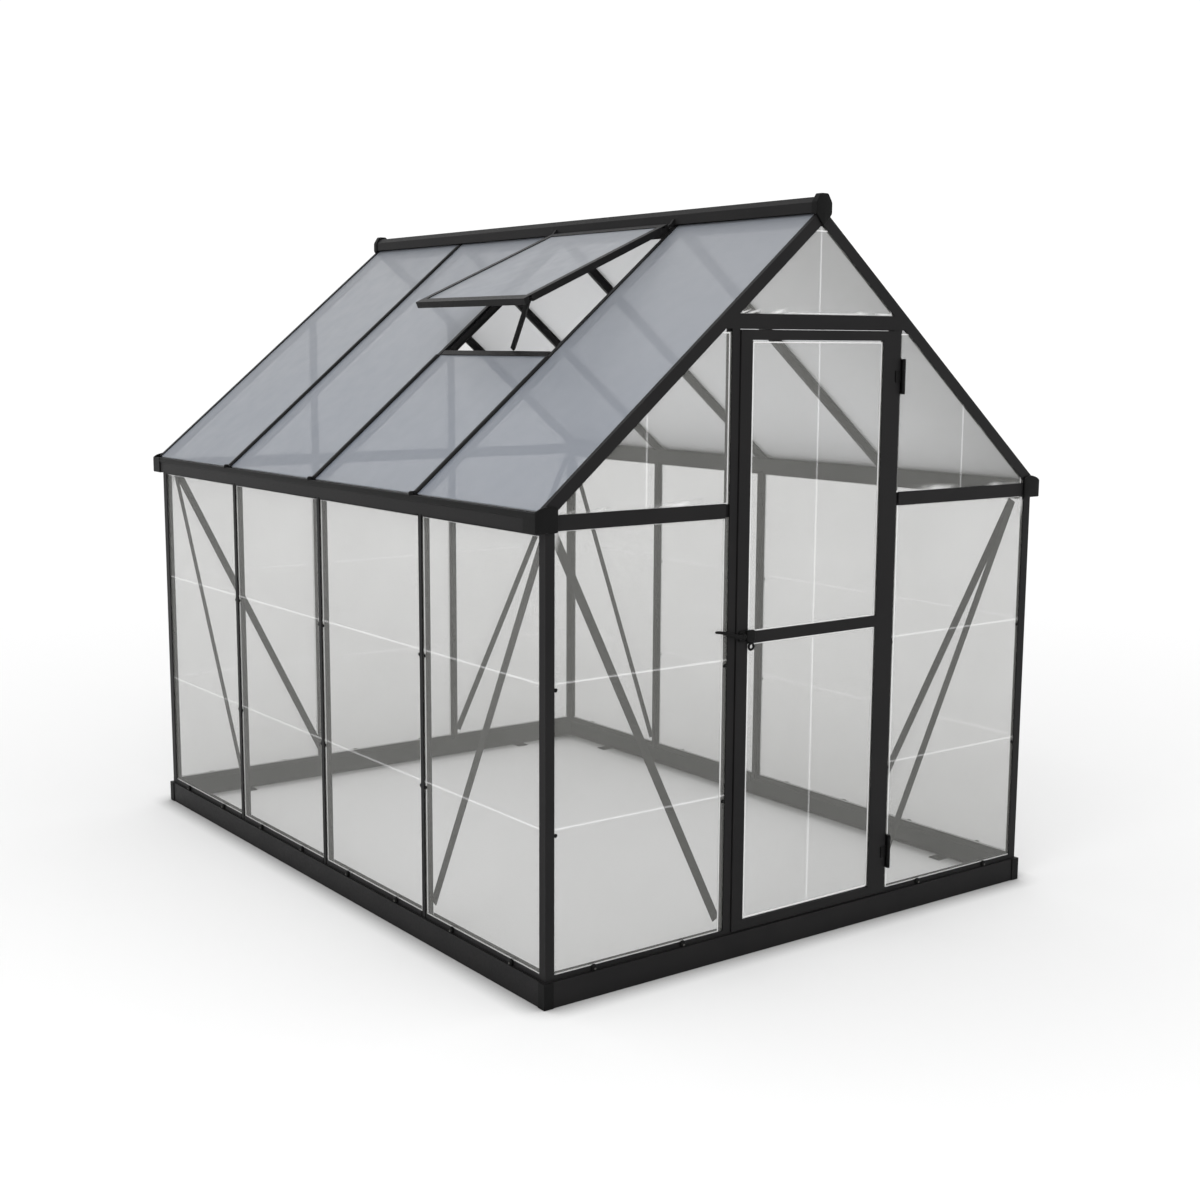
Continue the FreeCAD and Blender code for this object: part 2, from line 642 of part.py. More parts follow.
# The ears stand on the ridge's side face, over the two rafters that bound the vent's bay.
ear_spans = [
    (vent_low - vent_ear_thickness / 2 - vent_ear_gap, vent_low + vent_lid_margin - vent_ear_gap),
    (vent_high - vent_lid_margin + vent_ear_gap, vent_high + vent_ear_thickness / 2 + vent_ear_gap)]
arm_top_z = side_bottom_z + 2 * vent_ear_radius
vent_ears = []
for low, high in ear_spans:
    ear = rod(V(vent_pivot.x, low, vent_pivot.z), V(0, 1, 0), vent_ear_radius, high - low)
    arm = prism_y(
        [(ridge_half_width, side_bottom_z), (vent_pivot.x, vent_pivot.z - vent_ear_radius / 2),
         (vent_pivot.x, vent_pivot.z + vent_ear_radius), (ridge_half_width + skin, arm_top_z),
         (ridge_half_width, arm_top_z)], low, high)
    ear = ear.fuse(arm).removeSplitter()
    ear = ear.cut(box(0, ridge_half_width, low - 1, high + 1, 0, far_away))
    ear = ear.cut(rod(V(vent_pivot.x, low - 1, vent_pivot.z), V(0, 1, 0),
                      vent_rod_radius + vent_rod_clearance, high - low + 2))
    vent_ears.append(flip_x(ear))
rod_low = ear_spans[0][0]
rod_length = ear_spans[1][1] - rod_low
vent_rod = flip_x(rod(V(vent_pivot.x, rod_low, vent_pivot.z), V(0, 1, 0), vent_rod_radius, rod_length))

lid_low = vent_low + vent_lid_margin
lid_high = vent_high - vent_lid_margin
lid_bottom_s = vent_hinge_distance + vent_lid_length
lid_base = vent_lid_float
lid_top = vent_lid_float + vent_lid_depth
lid_groove_high = lid_top - skin
lid_groove_low = lid_groove_high - roof_pane_thickness - 2 * pane_slack


def open_lid(shape):
    """Move a lid piece from the shut place on the +X slope to the open place on the -X slope."""
    moved = shape.copy()
    moved.rotate(V(vent_pivot.x, 0, vent_pivot.z), V(0, 1, 0), -vent_open_angle)
    return flip_x(moved)


def lid_rail_section(inner, outer):
    """Rail section across a lid edge: inner faces the pane and is grooved, outer is plain."""
    toward = 1 if outer > inner else -1
    bottom = inner + toward * groove_bite
    return [
        (outer, lid_base), (outer, lid_top), (inner, lid_top), (inner, lid_groove_high),
        (bottom, lid_groove_high), (bottom, lid_groove_low), (inner, lid_groove_low),
        (inner, lid_groove_low - skin), (bottom, lid_groove_low - skin), (bottom, lid_base)]


top_rail_inner = vent_hinge_distance + vent_lid_side
top_rail_points = [
    (vent_hinge_distance, lid_base), (vent_hinge_distance, lid_top), (top_rail_inner, lid_top),
    (top_rail_inner, lid_groove_high), (top_rail_inner - groove_bite, lid_groove_high),
    (top_rail_inner - groove_bite, lid_groove_low), (top_rail_inner, lid_groove_low),
    (top_rail_inner, lid_base)]
lid_top_rail = slope_prism(top_rail_points, lid_low, lid_high)
lid_roll = rod(
    V(vent_pivot.x, lid_low, vent_pivot.z), V(0, 1, 0), vent_roll_radius, lid_high - lid_low)
lid_top_rail = lid_top_rail.fuse(lid_roll)
lid_bore = rod(
    V(vent_pivot.x, lid_low - 1, vent_pivot.z), V(0, 1, 0), vent_rod_radius + vent_rod_clearance,
    lid_high - lid_low + 2)
lid_top_rail = open_lid(lid_top_rail.cut(lid_bore))
bottom_inner = lid_bottom_s - vent_lid_bottom
bottom_rail_points = lid_rail_section(bottom_inner, lid_bottom_s)
lid_bottom_shut = slope_prism(bottom_rail_points, lid_low, lid_high)
side_low_points = lid_rail_section(lid_low + vent_lid_side, lid_low)
side_high_points = lid_rail_section(lid_high - vent_lid_side, lid_high)
lid_sides = [
    open_lid(rafter_prism(points, top_rail_inner, bottom_inner))
    for points in (side_low_points, side_high_points)]
vent_pane = open_lid(slope_prism(
    [(top_rail_inner - groove_bite + pane_side_gap, lid_groove_low + pane_slack),
     (bottom_inner + groove_bite - pane_side_gap, lid_groove_low + pane_slack),
     (bottom_inner + groove_bite - pane_side_gap, lid_groove_high - pane_slack),
     (top_rail_inner - groove_bite + pane_side_gap, lid_groove_high - pane_slack)],
    lid_low + vent_lid_side - groove_bite + pane_side_gap,
    lid_high - vent_lid_side + groove_bite - pane_side_gap))

# Stay: a strut on a bolt through the bottom rail's inner face, leaning along the rail.
bolt_y = lid_low + stay_end_inset
bolt_n = lid_base + stay_bolt_rise
stay_mid_s = bottom_inner - stay_standoff - stay_thickness / 2
down_slope = V(slope_cos, 0, -slope_sin)
bolt_start = roof_point(stay_mid_s - stay_thickness / 2 - stay_washer_gap - skin, bolt_n, bolt_y)
bolt_reach = skin + stay_washer_gap + stay_thickness + stay_standoff + 2 * groove_bite
stay_bolt = rod(bolt_start, down_slope, stay_bolt_radius, bolt_reach)
stay_bolt = stay_bolt.fuse(rod(bolt_start, down_slope, stay_bolt_head, skin))
bolt_hole = rod(bolt_start, down_slope, stay_bolt_radius + stay_bolt_clearance, bolt_reach + 1)
lid_bottom_rail = open_lid(lid_bottom_shut.cut(bolt_hole))

stay_start = stay_mid_s - stay_thickness / 2
stay = slope_prism(
    [(stay_start, bolt_n - stay_width / 2), (stay_start + stay_thickness, bolt_n - stay_width / 2),
     (stay_start + stay_thickness, bolt_n + stay_width / 2), (stay_start, bolt_n + stay_width / 2)],
    bolt_y, bolt_y + stay_length)
stay_eye = rod(roof_point(stay_start, bolt_n, bolt_y), down_slope, stay_width / 2, stay_thickness)
stay = stay.fuse(stay_eye).removeSplitter()
stay = stay.cut(rod(
    roof_point(stay_start - 1, bolt_n, bolt_y), down_slope, stay_bolt_radius + stay_bolt_clearance,
    stay_thickness + 2))
stay.rotate(roof_point(stay_start, bolt_n, bolt_y), down_slope, -stay_angle)
vent_stay = open_lid(stay)
vent_stay_bolt = open_lid(stay_bolt)

# ---------------------------------------------------------------- braces
def brace(top, foot, plane_point, across):
    """Flat strip from top to foot; both are (run, z) in the plane through plane_point."""
    run = foot[0] - top[0]
    drop = foot[1] - top[1]
    length = math.hypot(run, drop)
    off_run = -drop / length * brace_width / 2
    off_z = run / length * brace_width / 2
    corners = [
        (top[0] + off_run, top[1] + off_z), (foot[0] + off_run, foot[1] + off_z),
        (foot[0] - off_run, foot[1] - off_z), (top[0] - off_run, top[1] - off_z)]
    if across == "x":
        return prism([V(plane_point, run_at, z) for run_at, z in corners], V(-brace_thickness, 0, 0))
    return prism([V(run_at, plane_point, z) for run_at, z in corners], V(0, -brace_thickness, 0))


brace_top_z = eave_height - brace_top_drop
brace_foot_z = base_height + brace_foot_rise
brace_inset = frame_depth + brace_corner_gap
side_brace = brace(
    (wall_y - brace_inset, brace_top_z), (rafter_lines[-1] + brace_foot_gap, brace_foot_z),
    wall_x - frame_depth, "x")
rear_brace = brace(
    (wall_x - brace_inset, brace_top_z), (rear_mullion_offset + brace_foot_gap, brace_foot_z),
    wall_y - frame_depth, "y")
front_brace = flip_y(brace(
    (wall_x - brace_inset, brace_top_z), (jamb_outer_x + brace_foot_gap, brace_foot_z),
    wall_y - frame_depth, "y"))
side_braces = [side_brace, flip_y(side_brace), flip_x(side_brace), flip_x(flip_y(side_brace))]
gable_braces = [rear_brace, flip_x(rear_brace), front_brace, flip_x(front_brace)]

# ---------------------------------------------------------------- base clips and screws
clip_spots = []
bay_centres = [bay * (i - (side_bays - 1) / 2) for i in range(side_bays)]
for centre in bay_centres:
    for offset in (-clip_offset, clip_offset):
        clip_spots.append(("x", 1, centre + offset))
        clip_spots.append(("x", -1, centre + offset))
gable_centre = 2 * rear_mullion_offset
for centre in (-gable_centre, 0, gable_centre):
    for offset in (-clip_offset, clip_offset):
        clip_spots.append(("y", 1, centre + offset))
        if centre != 0:
            clip_spots.append(("y", -1, centre + offset))
base_clips = []
base_screws = []
for axis, sign, along in clip_spots:
    face = wall_x if axis == "x" else wall_y
    clip = box(
        face, face + clip_reach, along - clip_width / 2, along + clip_width / 2, base_height,
        base_height + clip_height)
    head = rod(
        V(face + clip_reach, along, base_height + clip_height / 2), V(1, 0, 0), screw_radius,
        screw_head)
    for piece, group in ((clip, base_clips), (head, base_screws)):
        if axis == "y":
            piece.rotate(V(0, 0, 0), V(0, 0, 1), 90)
            piece = flip_x(piece)
            piece = piece if sign > 0 else flip_y(piece)
        elif sign < 0:
            piece = flip_x(piece)
        group.append(piece)
for x in (-clip_offset, clip_offset):
    base_screws.append(rod(
        V(x, -wall_y + frame_depth / 2, base_height + threshold_height), V(0, 0, 1), screw_radius,
        screw_head))

# ---------------------------------------------------------------- pane clips beside posts and mullions
clip_lines = [y + s * (mullion_cap / 2 + pane_clip_inset) for y in rafter_lines for s in (-1, 1)]
pane_clips = []
for z in fold_heights:
    for y in clip_lines:
        start = V(wall_x - wall_pane_depth, y, z - 2 * crease_half_width)
        disc = rod(start, V(1, 0, 0), pane_clip_radius, pane_clip_thickness)
        pane_clips.append(disc)
        pane_clips.append(flip_x(disc))
    for x in (doorway_half_width + jamb_face + pane_clip_inset, post_inner_x - pane_clip_inset):
        start = V(x, -wall_y + wall_pane_depth, z - 2 * crease_half_width)
        disc = rod(start, V(0, -1, 0), pane_clip_radius, pane_clip_thickness)
        pane_clips.append(disc)
        pane_clips.append(flip_x(disc))

# ---------------------------------------------------------------- door
door_edge = doorway_half_width - door_side_gap
door_bottom = base_height + threshold_height + door_bottom_gap
door_top = header_bottom - door_top_gap
door_face_y = -wall_y - door_proud
stile_pane_edge = door_edge - stile_width
flange_reach = doorway_half_width + jamb_face - door_edge
lip_near = skin
lip_far = skin + 4.0
stile_back = [
    (stile_width, 0), (stile_width, lip_near), (stile_width - stile_groove_depth, lip_near),
    (stile_width - stile_groove_depth, lip_far), (stile_width, lip_far), (stile_width, lip_far + skin),
    (stile_width - stile_groove_depth, lip_far + skin), (stile_width - stile_groove_depth, door_depth),
    (0, door_depth), (0, door_depth - skin),
    (stile_width - stile_groove_depth - skin, door_depth - skin),
    (stile_width - stile_groove_depth - skin, skin), (skin, skin), (skin, door_depth - 2 * skin),
    (0, door_depth - 2 * skin)]
lock_stile = prism_z(
    [(-door_edge + v, door_face_y + e) for v, e in [(0, 0)] + stile_back], door_bottom, door_top)
flanged = [(-flange_reach, 0)] + stile_back + [(0, skin), (-flange_reach, skin)]
hinge_stile = prism_z([(door_edge - v, door_face_y + e) for v, e in flanged], door_bottom, door_top)

top_rail_section = [
    (rail_width, 0), (rail_width, door_depth), (rail_width - skin, door_depth), (rail_width - skin, skin),
    (stile_groove_depth + skin, skin), (stile_groove_depth + skin, lip_far + skin), (0, lip_far + skin),
    (0, lip_far), (stile_groove_depth, lip_far), (stile_groove_depth, lip_near), (0, lip_near), (0, 0)]
mid_half = mid_rail_height / 2
mid_rail_section = [
    (-mid_half, 0), (mid_half, 0), (mid_half, lip_near), (skin, lip_near), (skin, lip_far),
    (mid_half, lip_far), (mid_half, lip_far + skin), (skin, lip_far + skin), (skin, door_depth),
    (-skin, door_depth), (-skin, lip_far + skin), (-mid_half, lip_far + skin), (-mid_half, lip_far),
    (-skin, lip_far), (-skin, lip_near), (-mid_half, lip_near)]
top_rail = prism_x(
    [(door_face_y + e, door_top - rail_width + z) for z, e in top_rail_section], -stile_pane_edge,
    stile_pane_edge)
bottom_rail = prism_x(
    [(door_face_y + e, door_bottom + rail_width - z) for z, e in top_rail_section], -stile_pane_edge,
    stile_pane_edge)
mid_rail_z = mid_rail_bottom + mid_half
mid_rail = prism_x(
    [(door_face_y + e, mid_rail_z + z) for z, e in mid_rail_section], -stile_pane_edge,
    stile_pane_edge)

pane_edge = stile_pane_edge + stile_groove_depth - pane_side_gap
door_pane_outline = [
    (x, door_face_y + door_pane_depth + d) for x, d in creased(-pane_edge, pane_edge, [0])]
lower_pane = prism_z(
    door_pane_outline, door_bottom + rail_width - stile_groove_depth + pane_side_gap,
    mid_rail_z - skin - pane_side_gap)
upper_pane = prism_z(
    door_pane_outline, mid_rail_z + skin + pane_side_gap,
    door_top - rail_width + stile_groove_depth - pane_side_gap)

# Hinges: the frame's leaf with its pin beside the jamb, the door's leaf on the stile's flange.
axis_x = doorway_half_width + jamb_face + hinge_offset
axis_y = door_face_y - hinge_knuckle_radius
frame_leaves = []
door_leaves = []
third = hinge_height / 3
for bottom in (hinge_low_bottom, hinge_high_bottom):
    frame_leaf = box(
        doorway_half_width + jamb_face, axis_x + hinge_knuckle_radius, -wall_y, -wall_y + skin, bottom,
        bottom + hinge_height)
    for low, high in ((bottom, bottom + third - knuckle_gap),
                      (bottom + 2 * third + knuckle_gap, bottom + hinge_height)):
        frame_leaf = frame_leaf.fuse(rod(V(axis_x, axis_y, low), V(0, 0, 1), hinge_knuckle_radius,
                                         high - low))
        frame_leaf = frame_leaf.fuse(box(
            axis_x - hinge_knuckle_radius / 2, axis_x + hinge_knuckle_radius, axis_y, -wall_y, low,
            high))
    frame_leaf = frame_leaf.fuse(rod(V(axis_x, axis_y, bottom), V(0, 0, 1), hinge_pin_radius,
                                     hinge_height))
    frame_leaves.append(frame_leaf.removeSplitter())
    low = bottom + third
    door_leaf = rod(V(axis_x, axis_y, low), V(0, 0, 1), hinge_knuckle_radius, third)
    door_leaf = door_leaf.fuse(box(
        axis_x - hinge_offset - hinge_leaf_width, axis_x, door_face_y - hinge_leaf_thickness,
        door_face_y, low, low + third))
    door_leaf = door_leaf.cut(rod(
        V(axis_x, axis_y, low - 1), V(0, 0, 1), hinge_pin_radius + hinge_pin_clearance, third + 2))
    door_leaves.append(door_leaf.removeSplitter())

# Latch: plate with a padlock eye on the lock stile, and a lever that turns over the jamb.
plate_face = door_face_y - latch_plate_thickness
latch_plate = box(
    latch_plate_left, latch_plate_right, plate_face, door_face_y,
    latch_height - latch_plate_height / 2, latch_height + latch_plate_height / 2)
eye_x = latch_plate_right - latch_eye_radius
eye_z = latch_height - latch_plate_height / 2 - latch_eye_drop + latch_eye_radius
body_left = lever_pivot_x + lever_boss_radius + 3 * lever_gap
latch_plate = latch_plate.fuse(box(
    body_left, latch_plate_right, door_face_y - latch_body_depth, door_face_y,
    latch_height - latch_plate_height / 2, latch_height + latch_plate_height / 2))
latch_plate = latch_plate.fuse(box(
    eye_x - latch_eye_radius, eye_x + latch_eye_radius, plate_face - skin, plate_face + skin, eye_z,
    latch_height))
latch_plate = latch_plate.fuse(rod(
    V(eye_x, plate_face - skin, eye_z), V(0, 1, 0), latch_eye_radius, 2 * skin))
latch_plate = latch_plate.cut(rod(
    V(eye_x, plate_face - skin - 1, eye_z), V(0, 1, 0), latch_eye_hole, 2 * skin + 2))
lever_bore = rod(
    V(lever_pivot_x, plate_face - 1, latch_height), V(0, 1, 0), lever_pin_radius + lever_pin_clearance,
    latch_plate_thickness)
latch_plate = latch_plate.cut(lever_bore).removeSplitter()

lever_back = plate_face - lever_gap
lever = rod(
    V(lever_pivot_x, lever_back - lever_thickness, latch_height), V(0, 1, 0), lever_boss_radius,
    lever_thickness)
lever_arm_points = [
    (lever_pivot_x, latch_height - lever_root_height / 2),
    (lever_pivot_x, latch_height + lever_root_height / 2),
    (lever_tip_x, latch_height + lever_tip_rise + lever_tip_height / 2),
    (lever_tip_x, latch_height + lever_tip_rise - lever_tip_height / 2)]
lever = lever.fuse(prism_y(lever_arm_points, lever_back - lever_thickness, lever_back))
lever = lever.fuse(rod(
    V(lever_pivot_x, lever_back, latch_height), V(0, 1, 0), lever_pin_radius,
    latch_plate_thickness - 2 * lever_gap))
lever = lever.removeSplitter()

# ---------------------------------------------------------------- output
os.makedirs("parts", exist_ok=True)
save("base_front", front_rail)
save("base_rear", flip_y(front_rail))
save("base_left", left_rail)
save("base_right", flip_x(left_rail))
save("base_corner_caps", [corner_cap, flip_x(corner_cap), flip_y(corner_cap), flip_x(flip_y(corner_cap))])
save("base_clips", base_clips)
save("base_screws", base_screws)
save("sill_rails_front", front_sills)
save("sill_rail_rear", rear_sill)
save("sill_rails_side", [right_sill, flip_x(right_sill)])
save("corner_post_rear_right", post)
save("corner_post_rear_left", flip_x(post))
save("corner_post_front_right", flip_y(post))
save("corner_post_front_left", flip_x(flip_y(post)))
save("mullions_right", right_mullion)
save("mullions_left", [flip_x(piece) for piece in right_mullion])
save("mullions_rear", [rear_mullion, flip_x(rear_mullion)])
save("door_jamb_hinge_side", jamb)
save("door_jamb_lock_side", flip_x(jamb))
save("door_header", header)
save("door_threshold", threshold)
save("girts_front", [girt_front, flip_x(girt_front)])
save("girts_rear", [girt_rear_side, girt_rear_middle, flip_x(girt_rear_side)])
save("eave_beam_right", eave_beam)
save("eave_beam_left", flip_x(eave_beam))
save("eave_end_caps", [connector, flip_x(connector), flip_y(connector), flip_x(flip_y(connector))])
save("rafter_foot_caps", foot_caps + [flip_x(piece) for piece in foot_caps])
save("ridge_beam", ridge_beam)
save("ridge_end_caps", [ridge_cap, flip_y(ridge_cap)])
save("gable_rafters_rear", [gable_rafter_rear, flip_x(gable_rafter_rear)])
save("gable_rafters_front", [flip_y(gable_rafter_rear), flip_x(flip_y(gable_rafter_rear))])
save("rafters_right", rafters_right)
save("rafters_left", [flip_x(piece) for piece in rafters_right])
save("braces_side", side_braces)
save("braces_gable", gable_braces)
save("side_panes_right", side_panes)
save("side_panes_left", [flip_x(piece) for piece in side_panes])
save("rear_panes", [rear_pane_side, rear_pane_middle, flip_x(rear_pane_side)])
save("front_panes", [front_pane, flip_x(front_pane)])
save("gable_panes_front", [front_upper_side, front_upper_middle, flip_x(front_upper_side)])
save("gable_panes_rear", [rear_upper_side, rear_upper_middle, flip_x(rear_upper_side)])
save("roof_panes_right", roof_panes_right)
save("roof_panes_left", roof_panes_left)
save("pane_clips", pane_clips)
save("vent_sill", flip_x(vent_sill))
save("vent_hinge_ears", vent_ears)
save("vent_hinge_rod", vent_rod)
save("vent_lid_top_rail", lid_top_rail)
save("vent_lid_side_rails", lid_sides)
save("vent_lid_bottom_rail", lid_bottom_rail)
save("vent_pane", vent_pane)
save("vent_stay", vent_stay)
save("vent_stay_bolt", vent_stay_bolt)
save("door_stiles", [lock_stile, hinge_stile])
save("door_rails", [top_rail, mid_rail, bottom_rail])
save("door_panes", [lower_pane, upper_pane])
save("door_hinge_leaves", door_leaves)
save("door_hinge_pins", frame_leaves)
save("door_latch_plate", latch_plate)
save("door_lever", lever)
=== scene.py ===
"""Walk-in garden greenhouse: powder-coated frame, folded clear sheets, twin-wall roof, caps and fittings."""
import json
import math

import bmesh
import bpy
import numpy as np
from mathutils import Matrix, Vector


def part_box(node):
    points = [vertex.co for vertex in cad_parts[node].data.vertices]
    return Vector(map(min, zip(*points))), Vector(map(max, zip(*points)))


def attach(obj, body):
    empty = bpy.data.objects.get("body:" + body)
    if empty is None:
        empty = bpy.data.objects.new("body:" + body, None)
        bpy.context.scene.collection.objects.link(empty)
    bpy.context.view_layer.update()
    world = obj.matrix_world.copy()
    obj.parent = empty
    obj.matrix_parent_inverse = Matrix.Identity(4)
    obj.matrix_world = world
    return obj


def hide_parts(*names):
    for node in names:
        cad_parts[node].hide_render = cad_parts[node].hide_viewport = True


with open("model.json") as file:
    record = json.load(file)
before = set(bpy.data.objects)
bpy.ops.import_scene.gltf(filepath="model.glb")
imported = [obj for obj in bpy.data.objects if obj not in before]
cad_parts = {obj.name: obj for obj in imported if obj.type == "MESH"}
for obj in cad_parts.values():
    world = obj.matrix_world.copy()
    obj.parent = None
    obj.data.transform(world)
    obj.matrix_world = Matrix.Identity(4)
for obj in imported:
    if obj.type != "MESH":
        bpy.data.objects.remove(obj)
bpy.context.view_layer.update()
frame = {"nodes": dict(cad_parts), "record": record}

bl_info = {
    "name": "Garden greenhouse finishes",
    "version": (1, 0, 0),
    "blender": (4, 5, 0),
    "location": "3D View > Sidebar > Greenhouse",
    "description": "Clads and finishes the frame of a walk-in garden greenhouse",
    "category": "Object",
}

MM = 0.001
MERGE = 2e-6                     # points nearer than this are one point, in metres
X, Y, Z = np.eye(3)
REACH = 0.05 * MM                # how far inside a sheet's ends its first and last lines are taken


# ------------------------------------------------------------------ small tools
def linear(code, alpha=1.0):
    """sRGB hex code as linear red, green, blue and alpha."""
    part = np.array([int(code[i:i + 2], 16) for i in (1, 3, 5)]) / 255
    light = np.where(part <= 0.04045, part / 12.92, ((part + 0.055) / 1.055) ** 2.4)
    return (*light.tolist(), alpha)


def add(tree, kind, inputs=None, **settings):
    """Add one node, set its settings, and fill each input with a value or a link."""
    made = tree.nodes.new(kind)
    for key, value in settings.items():
        setattr(made, key, value)
    for key, value in (inputs or {}).items():
        if isinstance(value, bpy.types.NodeSocket):
            tree.links.new(value, made.inputs[key])
        else:
            made.inputs[key].default_value = value
    return made


def unit(vector):
    """Vector of length one in the same direction."""
    return np.asarray(vector, float) / np.linalg.norm(vector)


def corners(node):
    """Lowest and highest corner of a CAD node as arrays, in metres."""
    low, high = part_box(node)
    return np.array(low), np.array(high)


def solids(node):
    """A CAD node's separate solids, each an array of triangle corners shaped (triangles, 3, 3).

    Every point takes the smallest label among the triangles it touches until no label changes."""
    mesh = frame["nodes"][node].data
    mesh.calc_loop_triangles()
    points = np.empty(len(mesh.vertices) * 3, np.float32)
    mesh.vertices.foreach_get("co", points)
    points = points.reshape(-1, 3).astype(float)
    used = np.empty(len(mesh.loop_triangles) * 3, np.int32)
    mesh.loop_triangles.foreach_get("vertices", used)
    same = np.unique(np.round(points / MERGE).astype(np.int64), axis=0, return_inverse=True)[1].ravel()
    triangles = same[used].reshape(-1, 3)
    label = np.arange(same.max() + 1)
    while True:
        lower = label.copy()
        np.minimum.at(lower, triangles.ravel(), np.repeat(label[triangles].min(axis=1), 3))
        if (lower == label).all():
            break
        label = lower
    owner = label[triangles[:, 0]]
    return [points[used.reshape(-1, 3)[owner == one]] for one in np.unique(owner)]


def span(solid):
    """Lowest and highest corner of one solid."""
    flat = solid.reshape(-1, 3)
    return flat.min(axis=0), flat.max(axis=0)


# ------------------------------------------------------------------ surfaces
def patch(grid, wrap=False):
    """Quads over a grid of points shaped (rows, columns, values); wrap joins the last column to the first."""
    rows, columns = grid.shape[:2]
    index = np.arange(rows * columns).reshape(rows, columns)
    if wrap:
        index = np.hstack([index, index[:, :1]])
    quads = np.stack([index[:-1, :-1], index[:-1, 1:], index[1:, 1:], index[1:, :-1]], axis=-1)
    return grid.reshape(rows * columns, -1), quads.reshape(-1, 4)


def closed_sheet(front, back):
    """Closed solid between two grids of the same shape: both faces and the four strips round their edges."""
    strips = [np.stack([front[0], back[0]]), np.stack([front[-1], back[-1]]),
              np.stack([front[:, 0], back[:, 0]]), np.stack([front[:, -1], back[:, -1]])]
    return [patch(grid) for grid in (front, back, *strips)]


def turned(profile, centre, axis, sides=20):
    """Round solid: each (radius, height) of the profile is a circle about the axis.

    The profile starts and ends at radius 0, which closes it."""
    axis = unit(axis)
    side = unit(np.cross(axis, X if abs(axis[0]) < 0.9 else Y))
    angle = np.linspace(0, 2 * math.pi, sides, endpoint=False)[:, None]
    circle = np.cos(angle) * side + np.sin(angle) * np.cross(axis, side)
    radius, height = np.asarray(profile, float).T
    return patch(centre + radius[:, None, None] * circle + height[:, None, None] * axis, wrap=True)


def oval(half_width, half_height, power=2.0, count=32):
    """Closed outline |x / a|^p + |y / b|^p = 1: an ellipse at p = 2, a rounded rectangle at p = 5."""
    angle = np.linspace(0, 2 * math.pi, count, endpoint=False)
    x, y = np.cos(angle), np.sin(angle)
    return np.stack([half_width * np.sign(x) * np.abs(x) ** (2 / power),
                     half_height * np.sign(y) * np.abs(y) ** (2 / power)], axis=1)


def softened(points, radius, closed=True, count=80):
    """Line through the points, sampled evenly and averaged over the radius, which rounds its corners."""
    points = np.asarray(points, float)
    if closed:
        points = np.vstack([points, points[:1]])
    along = np.concatenate([[0], np.cumsum(np.hypot(*np.diff(points, axis=0).T))])
    even = np.linspace(0, along[-1], count + closed)[:count]
    reach = radius if closed else np.minimum(radius, np.minimum(even, along[-1] - even))
    shifts = np.linspace(-1, 1, 9)
    weights = 1.2 - np.abs(shifts)
    at = even[:, None] + shifts * np.reshape(reach, (-1, 1))
    at = at % along[-1] if closed else at
    return np.stack([(np.interp(at, along, points[:, i]) * weights).sum(axis=1) / weights.sum()
                     for i in (0, 1)], axis=1)


def face_outline(solid, axis, side, centre=None):
    """Corners of a solid's flat end, as (first, second) of the other two axes, in order round a centre.

    The end must be seen whole from the centre, as a convex end is from its middle."""
    flat = np.unique(np.round(solid.reshape(-1, 3), 6), axis=0)
    level = flat[:, axis].max() if side > 0 else flat[:, axis].min()
    ring = np.delete(flat[np.abs(flat[:, axis] - level) < MERGE], axis, axis=1)
    middle = ring.mean(axis=0) if centre is None else centre
    return ring[np.argsort(np.arctan2(*(ring - middle).T[::-1]))]


def boss(outline, origin, across, up, out, depth, edge, dome=0.0, middle=None):
    """Block with a rounded front edge: the outline runs straight out, then turns in on a quarter circle.

    A front point is the outline moved inward along its own normal by edge * (1 - cos t) and outward by
    edge * sin t; the middle of the front rises by the dome."""
    tangent = np.roll(outline, -1, axis=0) - np.roll(outline, 1, axis=0)
    normal = np.stack([tangent[:, 1], -tangent[:, 0]], axis=1)
    normal /= np.linalg.norm(normal, axis=1)[:, None]
    middle = outline.mean(axis=0) if middle is None else np.asarray(middle)
    if ((outline - middle) * normal).sum() < 0:
        normal = -normal
    turn = np.linspace(0, math.pi / 2, 6)
    inset = np.concatenate([[0], edge * (1 - np.cos(turn))])
    rings = outline - inset[:, None, None] * normal
    point = np.broadcast_to(middle, (1, *outline.shape))
    flat = np.concatenate([point, rings, (rings[-1:] + middle) / 2, point])
    rise = depth - dome
    height = np.concatenate([[0, 0], rise - edge + edge * np.sin(turn), [rise + 0.75 * dome, depth]])
    grid = origin + flat[..., :1] * across + flat[..., 1:] * up + height[:, None, None] * out
    return patch(grid, wrap=True)


def ring(centre, across, up, radius, tube, around=36, about=14):
    """Torus: centre + (R + r cos v)(cos u * across + sin u * up) + r sin v * (across x up)."""
    u = np.linspace(0, 2 * math.pi, around + 1)[:, None, None]
    v = np.linspace(0, 2 * math.pi, about, endpoint=False)[None, :, None]
    reach = radius + tube * np.cos(v)
    return patch(centre + reach * (np.cos(u) * across + np.sin(u) * up)
                 + tube * np.sin(v) * np.cross(across, up), wrap=True)


def outward_of(solid):
    """Axis and direction a small fitting faces: its thinnest way, away from the greenhouse's middle."""
    low, high = span(solid)
    axis = int(np.argmin(high - low))
    return axis, np.eye(3)[axis] * (1.0 if axis == 2 or low[axis] + high[axis] > 0 else -1.0)


